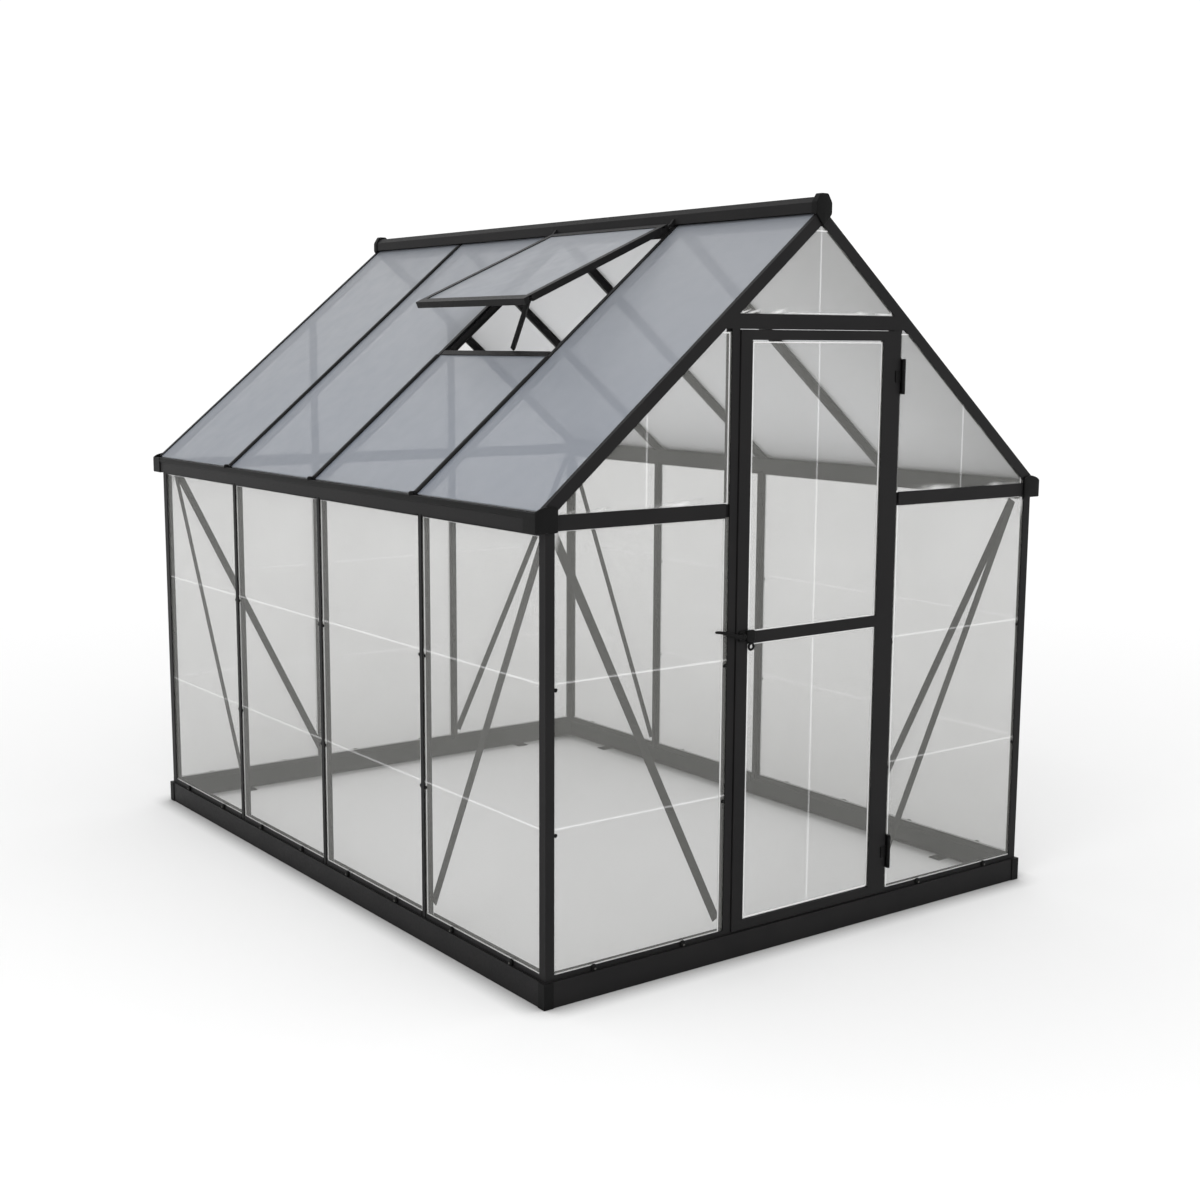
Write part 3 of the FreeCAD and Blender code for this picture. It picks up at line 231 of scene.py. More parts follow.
def piece(name, patches, body, nodes, material, marks=(), sharp=35.0):
    """Make one object from patches: join their edges, face them outward, ride, replace and finish it.

    The names in marks are the attributes that the patches' values after x, y, z are kept as."""
    starts = np.cumsum([0] + [len(points) for points, _ in patches[:-1]])
    points = np.vstack([points for points, _ in patches])
    quads = np.vstack([quads + start for (_, quads), start in zip(patches, starts)])
    mesh = bpy.data.meshes.new(name)
    mesh.from_pydata(points[:, :3].tolist(), [], quads.tolist())
    for column, mark in enumerate(marks, start=3):
        layer = mesh.attributes.new(mark, "FLOAT", "POINT")
        layer.data.foreach_set("value", points[:, column].astype(np.float32))
    work = bmesh.new()
    work.from_mesh(mesh)
    bmesh.ops.remove_doubles(work, verts=work.verts, dist=MERGE)
    bmesh.ops.dissolve_degenerate(work, edges=work.edges, dist=MERGE / 4)
    bmesh.ops.recalc_face_normals(work, faces=work.faces)
    work.to_mesh(mesh)
    work.free()
    mesh.shade_smooth()
    mesh.set_sharp_from_angle(angle=math.radians(sharp))
    made = bpy.data.objects.new(name, mesh)
    bpy.context.scene.collection.objects.link(made)
    mesh.materials.append(material)
    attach(made, body)
    if nodes:
        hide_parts(*nodes)
    return made


# ------------------------------------------------------------------ materials
def new_material(name):
    """Empty node material and its tree."""
    made = bpy.data.materials.new(name)
    made.use_nodes = True
    made.node_tree.nodes.clear()
    return made, made.node_tree


def finish(tree, shader):
    """Link a shader to the material output."""
    add(tree, "ShaderNodeOutputMaterial", {"Surface": shader.outputs["BSDF"]})


def speckled(tree, size, detail=3.0):
    """Noise with grains of the given size in metres, on object coordinates."""
    place = add(tree, "ShaderNodeTexCoord").outputs["Object"]
    noise = add(tree, "ShaderNodeTexNoise", {"Vector": place, "Scale": 1 / size, "Detail": detail})
    return noise.outputs["Fac"]


def between(tree, factor, low, high):
    """Number that runs from low to high as the factor runs over its usual range."""
    return add(tree, "ShaderNodeMapRange", {"Value": factor, "From Min": 0.3, "From Max": 0.7, "To Min": low,
                                            "To Max": high}).outputs["Result"]


def tinted(tree, factor, first, second):
    """Colour that runs from first to second with the factor."""
    return add(tree, "ShaderNodeMix", {"Factor": factor, "A": first, "B": second},
               data_type="RGBA").outputs[2]


def powder_coated_aluminium(colour, worn):
    """Extruded aluminium, charcoal polyester powder baked on: satin, with a fine orange peel.

    Real peel is 1 to 2 mm; it is drawn at 5 mm so that it shows at all."""
    made, tree = new_material("powder_coated_aluminium")
    cloud = speckled(tree, 180 * MM)
    peel = speckled(tree, 5 * MM)
    shader = add(tree, "ShaderNodeBsdfPrincipled", {
        "Base Color": tinted(tree, cloud, colour, worn),
        "Roughness": between(tree, peel, 0.36, 0.50),
        "IOR": 1.45, "Specular IOR Level": 0.10,
        "Normal": add(tree, "ShaderNodeBump", {"Height": peel, "Strength": 0.12,
                                               "Distance": 0.3 * MM}).outputs["Normal"]})
    finish(tree, shader)
    return made


def moulded_black_nylon(colour):
    """Injection-moulded glass-filled nylon: near black, fine spark-eroded grain, soft sheen on the edges."""
    made, tree = new_material("moulded_black_nylon")
    grain = speckled(tree, 1.5 * MM)
    shader = add(tree, "ShaderNodeBsdfPrincipled", {
        "Base Color": tinted(tree, speckled(tree, 40 * MM), colour, linear("#0c0c0c")),
        "Roughness": between(tree, grain, 0.42, 0.58),
        "IOR": 1.53, "Specular IOR Level": 0.10,
        "Normal": add(tree, "ShaderNodeBump", {"Height": grain, "Strength": 0.15,
                                               "Distance": 0.2 * MM}).outputs["Normal"]})
    finish(tree, shader)
    return made


def zinc_plated_steel(colour):
    """Turned steel with black-passivated zinc: metallic, dark, with a slightly cloudy plating."""
    made, tree = new_material("zinc_plated_steel")
    cloud = speckled(tree, 6 * MM)
    shader = add(tree, "ShaderNodeBsdfPrincipled", {
        "Base Color": tinted(tree, cloud, colour, linear("#4c4b48")),
        "Metallic": 1.0,
        "Roughness": between(tree, cloud, 0.28, 0.42)})
    finish(tree, shader)
    return made


def clear_polycarbonate(colour, opacity):
    """Extruded clear polycarbonate, pressed with stiffening folds: clean gloss, bright cut edges and folds.

    The rim and fold marks say where light gathered inside the sheet leaves it: whiter and less clear."""
    made, tree = new_material("clear_polycarbonate")
    rim = add(tree, "ShaderNodeAttribute", attribute_name="rim").outputs["Fac"]
    fold = add(tree, "ShaderNodeAttribute", attribute_name="fold").outputs["Fac"]
    bright = add(tree, "ShaderNodeMath", {0: rim, 1: fold}, operation="MAXIMUM").outputs[0]
    haze = speckled(tree, 350 * MM, 2.0)
    body = between(tree, haze, opacity * 0.94, opacity * 1.06)
    folded = add(tree, "ShaderNodeMath", {0: fold, 1: 0.05, 2: body}, operation="MULTIPLY_ADD").outputs[0]
    whole = add(tree, "ShaderNodeMath", {0: rim, 1: 0.55, 2: folded}, operation="MULTIPLY_ADD").outputs[0]
    shader = add(tree, "ShaderNodeBsdfPrincipled", {
        "Base Color": tinted(tree, bright, colour, linear("#ffffff")),
        "Roughness": 0.12, "IOR": 1.58, "Specular IOR Level": 0.5,
        "Alpha": add(tree, "ShaderNodeClamp", {"Value": whole}).outputs[0]})
    finish(tree, shader)
    return made


# The roof sheets are drawn lighter towards the ridge between these heights: painted light.
ROOF_LOW, ROOF_HIGH = 1.45, 2.0  # heights between which the roof sheets' colour changes, in metres
WEB_TINT = 0.10                  # how strongly the hidden webs tint the light


def twin_wall_polycarbonate(low_colour, high_colour, under_painted_light_colour, opacity):
    """Extruded twin-wall polycarbonate: two thin skins joined by webs, diffusing and slightly blue outside.

    The cell mark is 1 inside the flutes, where the webs only tint the light a little; the under mark is 1 on
    the skin that faces the room, which is drawn in a lighter colour and a little clearer: painted light that
    comes through the sheet."""
    made, tree = new_material("twin_wall_polycarbonate")
    cell = add(tree, "ShaderNodeAttribute", attribute_name="cell").outputs["Fac"]
    under = add(tree, "ShaderNodeAttribute", attribute_name="under").outputs["Fac"]
    place = add(tree, "ShaderNodeTexCoord").outputs["Object"]
    height = add(tree, "ShaderNodeSeparateXYZ", {"Vector": place}).outputs["Z"]
    # Painted light: the outer skin runs from the low colour at the eaves to the lighter high colour at the
    # ridge; the cloud adds random tone.
    rise = add(tree, "ShaderNodeMapRange", {"Value": height, "From Min": ROOF_LOW,
                                            "From Max": ROOF_HIGH}).outputs["Result"]
    cloud = speckled(tree, 400 * MM, 2.0)
    tone = add(tree, "ShaderNodeMath", {0: cloud, 1: 0.35, 2: rise}, operation="MULTIPLY_ADD").outputs[0]
    skin = add(tree, "ShaderNodeMapRange", {"Value": under, "To Min": opacity, "To Max": 0.7 * opacity})
    alpha = add(tree, "ShaderNodeMapRange", {"Value": cell, "To Min": skin.outputs["Result"],
                                             "To Max": WEB_TINT}).outputs["Result"]
    outside = tinted(tree, add(tree, "ShaderNodeClamp", {"Value": tone}).outputs[0], low_colour, high_colour)
    shader = add(tree, "ShaderNodeBsdfPrincipled", {
        # Painted light: the skin that faces the room takes the lighter underside colour.
        "Base Color": tinted(tree, under, outside, under_painted_light_colour),
        "Roughness": between(tree, speckled(tree, 60 * MM), 0.30, 0.38),
        "IOR": 1.58, "Specular IOR Level": 0.35,
        "Alpha": alpha})
    finish(tree, shader)
    return made


def matt_white_floor(colour):
    """Painted studio floor: matt white with a faint unevenness from the roller.

    Round the greenhouse it is a little greyer, a painted falloff of the light, and darker where a piece
    stands on it, a painted contact shadow made with an ambient occlusion node."""
    made, tree = new_material("matt_white_floor")
    roller = speckled(tree, 30 * MM)
    place = add(tree, "ShaderNodeTexCoord").outputs["Object"]
    # Painted falloff of the light: the floor colour is greyer near the greenhouse and nearly white from 8 m
    # out.
    away = add(tree, "ShaderNodeVectorMath", {0: place}, operation="LENGTH").outputs["Value"]
    far = add(tree, "ShaderNodeMapRange", {"Value": away, "From Min": 2.0, "From Max": 8.0}).outputs["Result"]
    floor_with_painted_falloff = tinted(tree, far, colour, linear("#fdfdfd"))
    # Painted contact shadow: an ambient occlusion node darkens the floor colour within 8 cm of a piece.
    near = add(tree, "ShaderNodeAmbientOcclusion", {"Color": floor_with_painted_falloff, "Distance": 0.08}, samples=8)
    shader = add(tree, "ShaderNodeBsdfPrincipled", {
        "Base Color": near.outputs["Color"],
        "Roughness": 0.9, "Specular IOR Level": 0.1,
        "Normal": add(tree, "ShaderNodeBump", {"Height": roller, "Strength": 0.02,
                                               "Distance": 0.2 * MM}).outputs["Normal"]})
    finish(tree, shader)
    return made


def material(context, name):
    """The finish of that name, made from the scene's colours on first use."""
    found = bpy.data.materials.get(name)
    if found:
        return found
    shades = context.scene.greenhouse_finishes
    makers = {
        "powder_coated_aluminium": lambda: powder_coated_aluminium(
            tuple(shades.frame), tuple(shades.frame_worn)),
        "moulded_black_nylon": lambda: moulded_black_nylon(tuple(shades.nylon)),
        "zinc_plated_steel": lambda: zinc_plated_steel(tuple(shades.zinc)),
        "clear_polycarbonate": lambda: clear_polycarbonate(tuple(shades.clear), shades.clear_opacity),
        "twin_wall_polycarbonate": lambda: twin_wall_polycarbonate(
            tuple(shades.twin_low), tuple(shades.twin_high), tuple(shades.twin_under_painted_light), shades.twin_opacity),
        "matt_white_floor": lambda: matt_white_floor(tuple(shades.floor)),
    }
    return makers[name]()


# ------------------------------------------------------------------ wall sheets
def edge_heights(solid, run, stations):
    """Lowest and highest edge point of a sheet on each upright line at the stations along its run."""
    first = solid.reshape(-1, 3)
    second = np.roll(solid, -1, axis=1).reshape(-1, 3)
    width = second[:, run] - first[:, run]
    share = (stations[:, None] - first[:, run]) / np.where(width == 0, 1, width)
    met = (share >= 0) & (share <= 1) & (width != 0)
    height = first[:, 2] + share * (second[:, 2] - first[:, 2])
    return np.where(met, height, np.inf).min(axis=1), np.where(met, height, -np.inf).max(axis=1)


def stations_between(low, high, spots, rims, thin, fold):
    """Places from low to high: even steps, closer at the bright line inside each end and at each spot."""
    near = np.array([-2, -1, -0.5, 0, 0.5, 1, 2]) * thin
    close = np.array([-3, -2, -1.4, -1, -0.7, -0.4, -0.2, 0, 0.2, 0.4, 0.7, 1, 1.4, 2, 3]) * fold
    places = [np.linspace(low, high, 14), low + rims[0] + near, high - rims[1] + near]
    places += [spot + close for spot in spots]
    places = np.unique(np.round(np.concatenate(places), 6))
    return places[(places >= low) & (places <= high)]


def folded_sheet(solid, sizes, rim, covered):
    """Closed sheet with soft folds, from a CAD pane's outline.

    The faces lie at the pane's own depth plus rise * exp(-(d / fold)^2), d being the distance to a fold line;
    towards the held edges the rise drops to what the grooves leave room for.  The rim value draws a thin line
    exp(-((e - rim) / thin)^2) at a distance e = rim from the edge, and farther in by covered beside the
    doorway.  Values after x, y, z are rim and fold."""
    thin, fold, rise = sizes.thin, sizes.fold, sizes.rise
    groove_room = 0.7 * MM       # how far a fold may stand out where a groove holds the sheet
    narrow = 20 * MM             # a sheet whose folds all lie this close together has one upright fold
    low, high = span(solid)
    run, face = (1, 0) if high[0] - low[0] < high[1] - low[1] else (0, 1)
    outward = 1.0 if low[face] + high[face] > 0 else -1.0
    flat = solid.reshape(-1, 3)
    depth = np.round(outward * flat[:, face], 5)
    levels = np.unique(depth)
    outer, inner = levels[-2], levels[0]
    peaks = flat[depth == levels[-1]]
    upright = np.ptp(peaks[:, run]) < narrow
    lines = np.unique(np.round(peaks[:, run if upright else 2], 3))
    breaks = np.unique(np.round(flat[:, run], 5))
    breaks = np.concatenate([breaks - REACH * 2, breaks + REACH * 2])
    extra = np.array([covered, 0]) if low[run] > 0 else np.array([0, covered])
    places = stations_between(low[run] + REACH, high[run] - REACH, lines if upright else [], rim + extra,
                              thin, fold)
    places = np.unique(np.concatenate([places, breaks[(breaks > low[run]) & (breaks < high[run])]]))
    bottom, top = edge_heights(solid, run, places)
    rows = stations_between(low[2], high[2], [] if upright else lines, (rim, rim), thin, fold)
    share = ((rows - low[2]) / (high[2] - low[2]))[:, None]
    height = bottom + share * (top - bottom)
    lean = 1 / np.sqrt(1 + np.clip(np.gradient(top, places), -1, 1) ** 2)
    side = np.minimum(places - low[run], high[run] - places)
    ends = np.minimum(height - bottom, (top - height) * lean)
    edge = np.minimum(side, ends)
    distance = np.abs((places if upright else height)[..., None] - lines).min(axis=-1)
    distance = np.broadcast_to(distance, height.shape)
    held = np.clip((edge - rim) / (5 * rim), 0, 1)
    swell = ((groove_room + (rise - groove_room) * held * held * (3 - 2 * held))
             * np.exp(-(distance / fold) ** 2))
    inner_side = np.minimum(places - low[run] - extra[0], high[run] - places - extra[1])
    bright = np.exp(-((np.minimum(inner_side, ends) - rim) / thin) ** 2)
    line = np.exp(-(distance / (0.45 * fold)) ** 2)
    grids = []
    for level in (outer, inner):
        grid = np.empty((*height.shape, 5))
        grid[..., run] = places
        grid[..., face] = outward * (level + swell)
        grid[..., 2] = height
        grid[..., 3] = bright
        grid[..., 4] = line
        grids.append(grid)
    return closed_sheet(*grids)


# ------------------------------------------------------------------ roof sheets
def fluted_sheet(solid, pitch, skin, web):
    """Closed twin-wall sheet in a CAD pane's place: a ladder-shaped section carried down the slope.

    Columns stand at both faces of every web and rows at both faces of every skin; the section's quads are
    kept where there is material, and each hollow's four walls are carried down.  Values after x, y, z are
    cell and under."""
    flat = solid.reshape(-1, 3)
    middle = (flat.min(axis=0) + flat.max(axis=0)) / 2
    slope = flat[:, [0, 2]] - middle[[0, 2]]
    down = np.linalg.svd(slope, full_matrices=False)[2][0]
    down = down if down[1] < 0 else -down
    down = np.array([down[0], 0, down[1]])
    out = np.cross(down, Y)
    out = out if out[2] > 0 else -out
    along = (flat - middle) @ down
    thick = (flat - middle) @ out
    low, high = flat[:, 1].min(), flat[:, 1].max()
    count = round((high - low) / pitch)
    centres = low + web / 2 + np.arange(count + 1) * (high - low - web) / count
    columns = np.stack([centres - web / 2, centres + web / 2], axis=1).ravel()
    levels = np.array([thick.min(), thick.min() + skin, thick.max() - skin, thick.max()])
    ends = np.array([along.min(), along.max()])
    shape = (2, len(columns), 4)
    grid = np.zeros((*shape, 5))
    grid[..., :3] = (np.array([middle[0], 0, middle[2]]) + ends[:, None, None, None] * down
                     + columns[:, None, None] * Y + levels[:, None] * out)
    grid[..., 1:3, 3] = 1.0
    grid[..., 0, 4] = 1.0
    index = np.arange(grid[..., 0].size).reshape(shape)

    def quads(a, b, c, d):
        """Four-cornered faces from four arrays of point numbers."""
        return np.stack([a.ravel(), b.ravel(), c.ravel(), d.ravel()], axis=1)

    def strip(line):
        """Walls carried from end to end along each (start, end) pair of a section's edges."""
        return quads(line[0, 0], line[0, 1], line[1, 1], line[1, 0])

    section = [index[:, :-1, :-1], index[:, 1:, :-1], index[:, 1:, 1:], index[:, :-1, 1:]]
    solid_part = np.ones((len(columns) - 1, 3), bool)
    solid_part[1::2, 1] = False
    found = [np.stack([part[end][solid_part] for part in section], axis=1) for end in (0, 1)]
    for row in (0, 3):
        found.append(strip(np.stack([index[:, :-1, row], index[:, 1:, row]], axis=1)))
    for column in (0, -1):
        found.append(strip(np.stack([index[:, column, :-1], index[:, column, 1:]], axis=1)))
    left, right = index[:, 1:-1:2], index[:, 2::2]
    for first, second in ((left[..., 1], right[..., 1]), (right[..., 2], left[..., 2]),
                          (left[..., 1], left[..., 2]), (right[..., 1], right[..., 2])):
        found.append(strip(np.stack([first, second], axis=1)))
    return [(grid.reshape(-1, 5), np.vstack(found))]


# ------------------------------------------------------------------ caps and fittings
# The four caps' functions take the same two arguments, so that one loop can make them all.
def corner_cap(solid, sizes):
    """Base corner: an L-shaped outline with a rounded outer corner, carried up, with a soft top edge."""
    low, high = span(solid)
    sign = np.sign(low[:2] + high[:2])
    corner = np.where(sign > 0, high[:2], low[:2])
    skin, rounding, edge = 2.5 * MM, 1.2 * MM, 0.8 * MM
    kernel = corner - sign * skin / 2
    outline = softened(face_outline(solid, 2, 1, kernel), rounding, count=160)
    return [boss(outline, low[2] * Z, X, Y, Z, high[2] - low[2], edge, middle=kernel)]


def eave_cap(solid, sizes):
    """Eave end: a rounded plate over the gutter's end, and an L-shaped wrap on its outer and lower faces."""
    low, high = span(solid)
    side = 1.0 if high[1] > 0 else -1.0
    outer = 1.0 if high[0] > 0 else -1.0
    floor_width, dome = 34 * MM, 1.0 * MM
    beam_high = corners("eave_beam_right")[1]
    plate_start = side * beam_high[1]
    plate = softened(face_outline(solid, 1, side), sizes.corner)
    depth = (high[1] if side > 0 else -low[1]) - beam_high[1]
    edge_x = high[0] if outer > 0 else -low[0]
    bend_x, bend_z = edge_x - sizes.wall, low[2] + sizes.wall
    lip_z = beam_high[2]
    floor_x = edge_x - floor_width
    outside = softened([(floor_x, low[2]), (edge_x, low[2]), (edge_x, lip_z)], sizes.corner, closed=False)
    inside = softened([(floor_x, bend_z), (bend_x, bend_z), (bend_x, lip_z)], REACH, closed=False)
    start = low[1] if side > 0 else high[1]
    ends = np.linspace(start, plate_start, 3)
    grids = [np.stack([np.stack([outer * line[:, 0], np.full(len(line), y), line[:, 1]], axis=1)
                       for y in ends]) for line in (outside, inside)]
    return [boss(plate, plate_start * Y, X, Z, side * Y, depth, sizes.edge, dome=dome),
            *closed_sheet(*grids)]


def ridge_cap(solid, sizes):
    """Ridge end: a rounded gable-shaped plate, and a hood over the end of the ridge beam."""
    low, high = span(solid)
    side = 1.0 if high[1] > 0 else -1.0
    open_foot, dome = 5 * MM, 1.5 * MM
    beam_high = corners("ridge_beam")[1]
    outline = face_outline(solid, 1, side)
    depth = (high[1] if side > 0 else -low[1]) - beam_high[1]
    hood = outline[outline[:, 1] > low[2] + open_foot]
    hood = hood[np.argsort(np.arctan2(hood[:, 0], hood[:, 1] - low[2]))]
    outside = softened(hood, sizes.corner, closed=False)
    inside = softened(hood, REACH, closed=False)
    inside = np.stack([inside[:, 0] * beam_high[0] / high[0], np.minimum(inside[:, 1], beam_high[2])], axis=1)
    ends = np.linspace(low[1] if side > 0 else high[1], side * beam_high[1], 3)
    grids = [np.stack([np.stack([line[:, 0], np.full(len(line), y), line[:, 1]], axis=1) for y in ends])
             for line in (outside, inside)]
    return [boss(softened(outline, sizes.corner), side * beam_high[1] * Y, X, Z, side * Y, depth, sizes.edge,
                 dome=dome), *closed_sheet(*grids)]


def down_slope(solid):
    """Unit vector down the roof for a piece on either slope, along a gable rafter."""
    sign = 1.0 if solid[..., 0].mean() > 0 else -1.0
    rafter = solids("gable_rafters_rear")[0].reshape(-1, 3)[:, [0, 2]]
    way = np.linalg.svd(rafter - rafter.mean(axis=0), full_matrices=False)[2][0]
    return unit([sign * abs(way[0]), 0, -abs(way[1])])


def foot_cap(solid, sizes):
    """Rafter foot: a round plug with a bulging face, and the knob that ties it to the gutter's lip.

    Both are profiles of (radius, height) turned about an axis: down the slope and upright."""
    knob_radius, knob_height = 9.5 * MM, 17 * MM
    inside_lip, below_lip = 6.5 * MM, 7 * MM
    way = down_slope(solid)
    flat = solid.reshape(-1, 3)
    along = flat @ way
    across = unit(np.cross(Y, way))
    middle = sum(axis * (np.ptp(flat @ axis) / 2 + (flat @ axis).min()) for axis in (Y, across))
    length = np.ptp(along)
    radius = (flat[:, 1].max() - flat[:, 1].min()) / 2
    profile = [(0, 0), (radius, 0), (radius, 0.45 * length), (0.93 * radius, 0.72 * length),
               (0.7 * radius, 0.9 * length), (0.35 * radius, 0.98 * length), (0, length)]
    lip = corners("eave_beam_right")[1]
    foot = np.array([np.sign(way[0]) * (lip[0] - inside_lip), flat[:, 1].mean(), lip[2] - below_lip])
    knob = np.array([(0, 0), (1, 0), (1, 0.5), (0.93, 0.75), (0.72, 0.92), (0.4, 0.99), (0, 1)])
    return [turned(profile, middle + along.min() * way, way),
            turned(knob * (knob_radius, knob_height), foot, Z)]


def gutter_bead(node, sizes):
    """Bead along the gutter's lip, half an ellipse carried along: bead * sin t out, height / 2 * cos t up."""
    sunk, back_share = 0.5 * MM, 0.9   # how deep its back lies in the lip, and its height there
    wrap = 58 * MM                     # how far the end caps reach along the gutter
    low, high = corners(node)
    outer = 1.0 if high[0] > 0 else -1.0
    face = high[0] if outer > 0 else low[0]
    t = np.linspace(0, math.pi, 12)
    x = np.concatenate([sizes.bead * np.sin(t), np.full(3, -sunk)])
    back = np.linspace(-back_share, back_share, 3)
    z = high[2] - sizes.bead_height / 2 * (1 - np.concatenate([np.cos(t), back]))
    wrap_end = corners("eave_end_caps")[1][1] - wrap
    ends = wrap_end * np.array([-1, -1, 1, 1])
    size = np.array([0, 1, 1, 0])[:, None]
    middle = z.mean()
    grid = np.stack([face + outer * x * size, np.broadcast_to(ends[:, None], (4, len(x))),
                     middle + (z - middle) * size], axis=-1)
    return patch(grid, wrap=True)


def cover_strip(y, side, start, end, sizes):
    """Strip over a rafter, carried down the slope: flat below, and height * (1 - u^4) over the width."""
    gable = solids("gable_rafters_rear")[0].reshape(-1, 3)
    way = down_slope(np.array([side, 0, 0]))
    out = np.array([-way[2] * side, 0, way[0] * side])
    apex = np.array([0, y, gable[:, 2].max() - way[2] / way[0] * side * np.abs(gable[:, 0]).min()])
    across = np.linspace(-1, 1, 13)
    u = np.concatenate([across, np.linspace(0.8, -0.8, 3)]) * sizes.strip / 2
    n = np.concatenate([sizes.strip_height * (1 - across ** 4), np.zeros(3)])
    places = np.array([start, start + MM, end - MM, end])
    size = np.array([0, 1, 1, 0])[:, None]
    low = n.mean()
    grid = (apex + places[:, None, None] * way + (u * size)[..., None] * Y
            + (low + (n - low) * size)[..., None] * out)
    return patch(grid, wrap=True)


def cover_strips(sizes):
    """Strips over all rafters; those beside the vent start below its lid."""
    lid_low, lid_high = corners("vent_pane")
    beside = 3 * sizes.strip
    strips = []
    for side, node in ((1.0, "rafters_right"), (-1.0, "rafters_left")):
        for solid in solids(node):
            low, high = span(solid)
            y = (low[1] + high[1]) / 2
            by_lid = side < 0 and lid_low[1] - beside < y < lid_high[1] + beside
            reach = high[0] if side > 0 else -low[0]
            end = reach / abs(down_slope(solid)[0])
            strips.append(cover_strip(y, side, sizes.lid_end if by_lid else sizes.strip_start, end, sizes))
    return strips


def clip_knob(solid):
    """Base clip: a knob with a rounded square outline and a domed face, a little over the sheet's edge."""
    over, lift, edge, dome = 1.5 * MM, 2.5 * MM, 3.5 * MM, 1.0 * MM
    low, high = span(solid)
    axis, out = outward_of(solid)
    across = np.eye(3)[1 - axis]
    middle = (low + high) / 2
    base = middle - out * (high[axis] - low[axis]) / 2
    half = (high - low) / 2
    outline = oval(half[1 - axis] + over, half[2] + over, power=3.0, count=24)
    return boss(outline, base + lift * Z, across, Z, out, high[axis] - low[axis], edge, dome=dome)


def round_fitting(solid, profile):
    """Small round fitting: a profile of (radius, height) turned about its axis.

    The profile is in shares of the solid's own radius and length."""
    low, high = span(solid)
    axis, out = outward_of(solid)
    length = high[axis] - low[axis]
    radius = max(high - low) / 2
    return turned(np.array(profile) * (radius, length), (low + high) / 2 - out * length / 2, out, sides=14)


def screw_head(solid):
    """Pan head: straight rim, rounded shoulder and a round socket in the middle."""
    return round_fitting(solid, [(0, 0), (1, 0), (1, 0.35), (0.88, 0.75), (0.6, 1), (0.34, 1), (0.3, 0.55),
                                 (0, 0.5)])


def button(solid):
    """Push-in button: a thin flange under a shallow dome that swells a little past the disc it stands for."""
    return round_fitting(solid, [(0, 0), (1.2, 0), (1.2, 0.5), (1.1, 0.8), (0.7, 1.4), (0, 1.6)])


def joint_place(name):
    """Where a joint's axis lies, in metres."""
    joints = frame["record"]["behaviour"]["joints"]
    return np.array(next(joint["pos_m"] for joint in joints if joint["name"] == name))


def latch_plate():
    """Latch: a rounded plate, a raised body beside the lever's boss, a neck and the padlock ring."""
    plate_depth, plate_edge = 4.5 * MM, 1.2 * MM
    body_edge, body_dome, lever_gap = 3.0 * MM, 0.8 * MM, 0.6 * MM
    eye_inset, eye_radius, eye_tube = 12 * MM, 8.5 * MM, 3.4 * MM
    neck_half, neck_depth, neck_sunk, neck_raised = 9 * MM, 5 * MM, 2.5 * MM, 1.5 * MM
    low, high = corners("door_latch_plate")
    pin = joint_place("door_lever_pivot")
    back, front = high[1], low[1]
    top, bottom = high[2], 2 * pin[2] - high[2]
    middle = np.array([(low[0] + high[0]) / 2, back, (top + bottom) / 2])
    half_height = (top - bottom) / 2
    body_left = corners("door_lever")[1][0] + lever_gap
    body_middle = np.array([(body_left + high[0]) / 2, back, middle[2]])
    eye = np.array([high[0] - eye_inset, back - plate_depth, low[2] + eye_inset])
    neck_low, neck_top = eye[2] + 7 * MM, bottom + 6 * MM      # from inside the ring into the plate's foot
    neck = np.array([eye[0], eye[1] + neck_sunk, (neck_low + neck_top) / 2 + neck_raised])
    return [
        boss(oval((high[0] - low[0]) / 2, half_height, 6.0, 48), middle, X, Z, -Y, plate_depth, plate_edge),
        boss(oval((high[0] - body_left) / 2, half_height, 5.0, 48), body_middle, X, Z, -Y, back - front,
             body_edge, dome=body_dome),
        boss(oval(neck_half, (neck_top - neck_low) / 2, 5.0, 32), neck, X, Z, -Y, neck_depth, plate_edge),
        ring(eye, X, Z, eye_radius, eye_tube)]


def lever():
    """Lever: a domed boss on its pin and an arm whose rounded section shrinks from the boss to the tip.

    Section half height 7 mm to 3.5 mm and half depth 3 mm to 2.2 mm over the length; the arm's line rises as
    (1 - cos) between the boss and the tip, and the section closes as a square root over the last 6%."""
    wide, narrow, deep, shallow = 7 * MM, 3.5 * MM, 3 * MM, 2.2 * MM
    depth, pin_radius, pin_edge, pin_sunk = 6 * MM, 4 * MM, 0.3 * MM, 0.2 * MM
    rounding = 0.06              # share of the arm's length over which its tip closes
    steps, around = 22, 20
    low, high = corners("door_lever")
    pin = joint_place("door_lever_pivot")
    radius = high[0] - pin[0]
    boss_back = np.array([pin[0], low[1] + depth, pin[2]])
    share = np.linspace(0, 1, steps)
    rise = (high[2] - narrow - pin[2]) * (1 - np.cos(math.pi * share)) / 2
    tip = np.sqrt(np.clip((1 - share) / rounding, 0, 1))
    half_height = (wide + (narrow - wide) * share) * tip
    half_depth = (deep + (shallow - deep) * share) * tip
    section = oval(1.0, 1.0, 2.6, around)
    line = np.stack([np.linspace(pin[0], low[0], steps), np.full(steps, low[1] + depth / 2), pin[2] + rise],
                    axis=1)
    grid = (line[:, None] + half_height[:, None, None] * section[:, 1][:, None] * Z
            + half_depth[:, None, None] * section[:, 0][:, None] * Y)
    grid = np.concatenate([np.broadcast_to(line[0], (1, around, 3)), grid])
    profile = np.array([(0, 0), (1, 0), (1, 0.6), (0.92, 0.85), (0.75, 1), (0.4, 1), (0.34, 0.9), (0, 0.9)])
    pin_length = high[1] - boss_back[1]
    pin_profile = [(0, 0), (pin_radius, 0), (pin_radius, pin_length - pin_edge), (0, pin_length)]
    return [patch(grid, wrap=True), turned(profile * (radius, depth), boss_back, -Y, 28),
            turned(pin_profile, boss_back - pin_sunk * Y, Y, 16)]


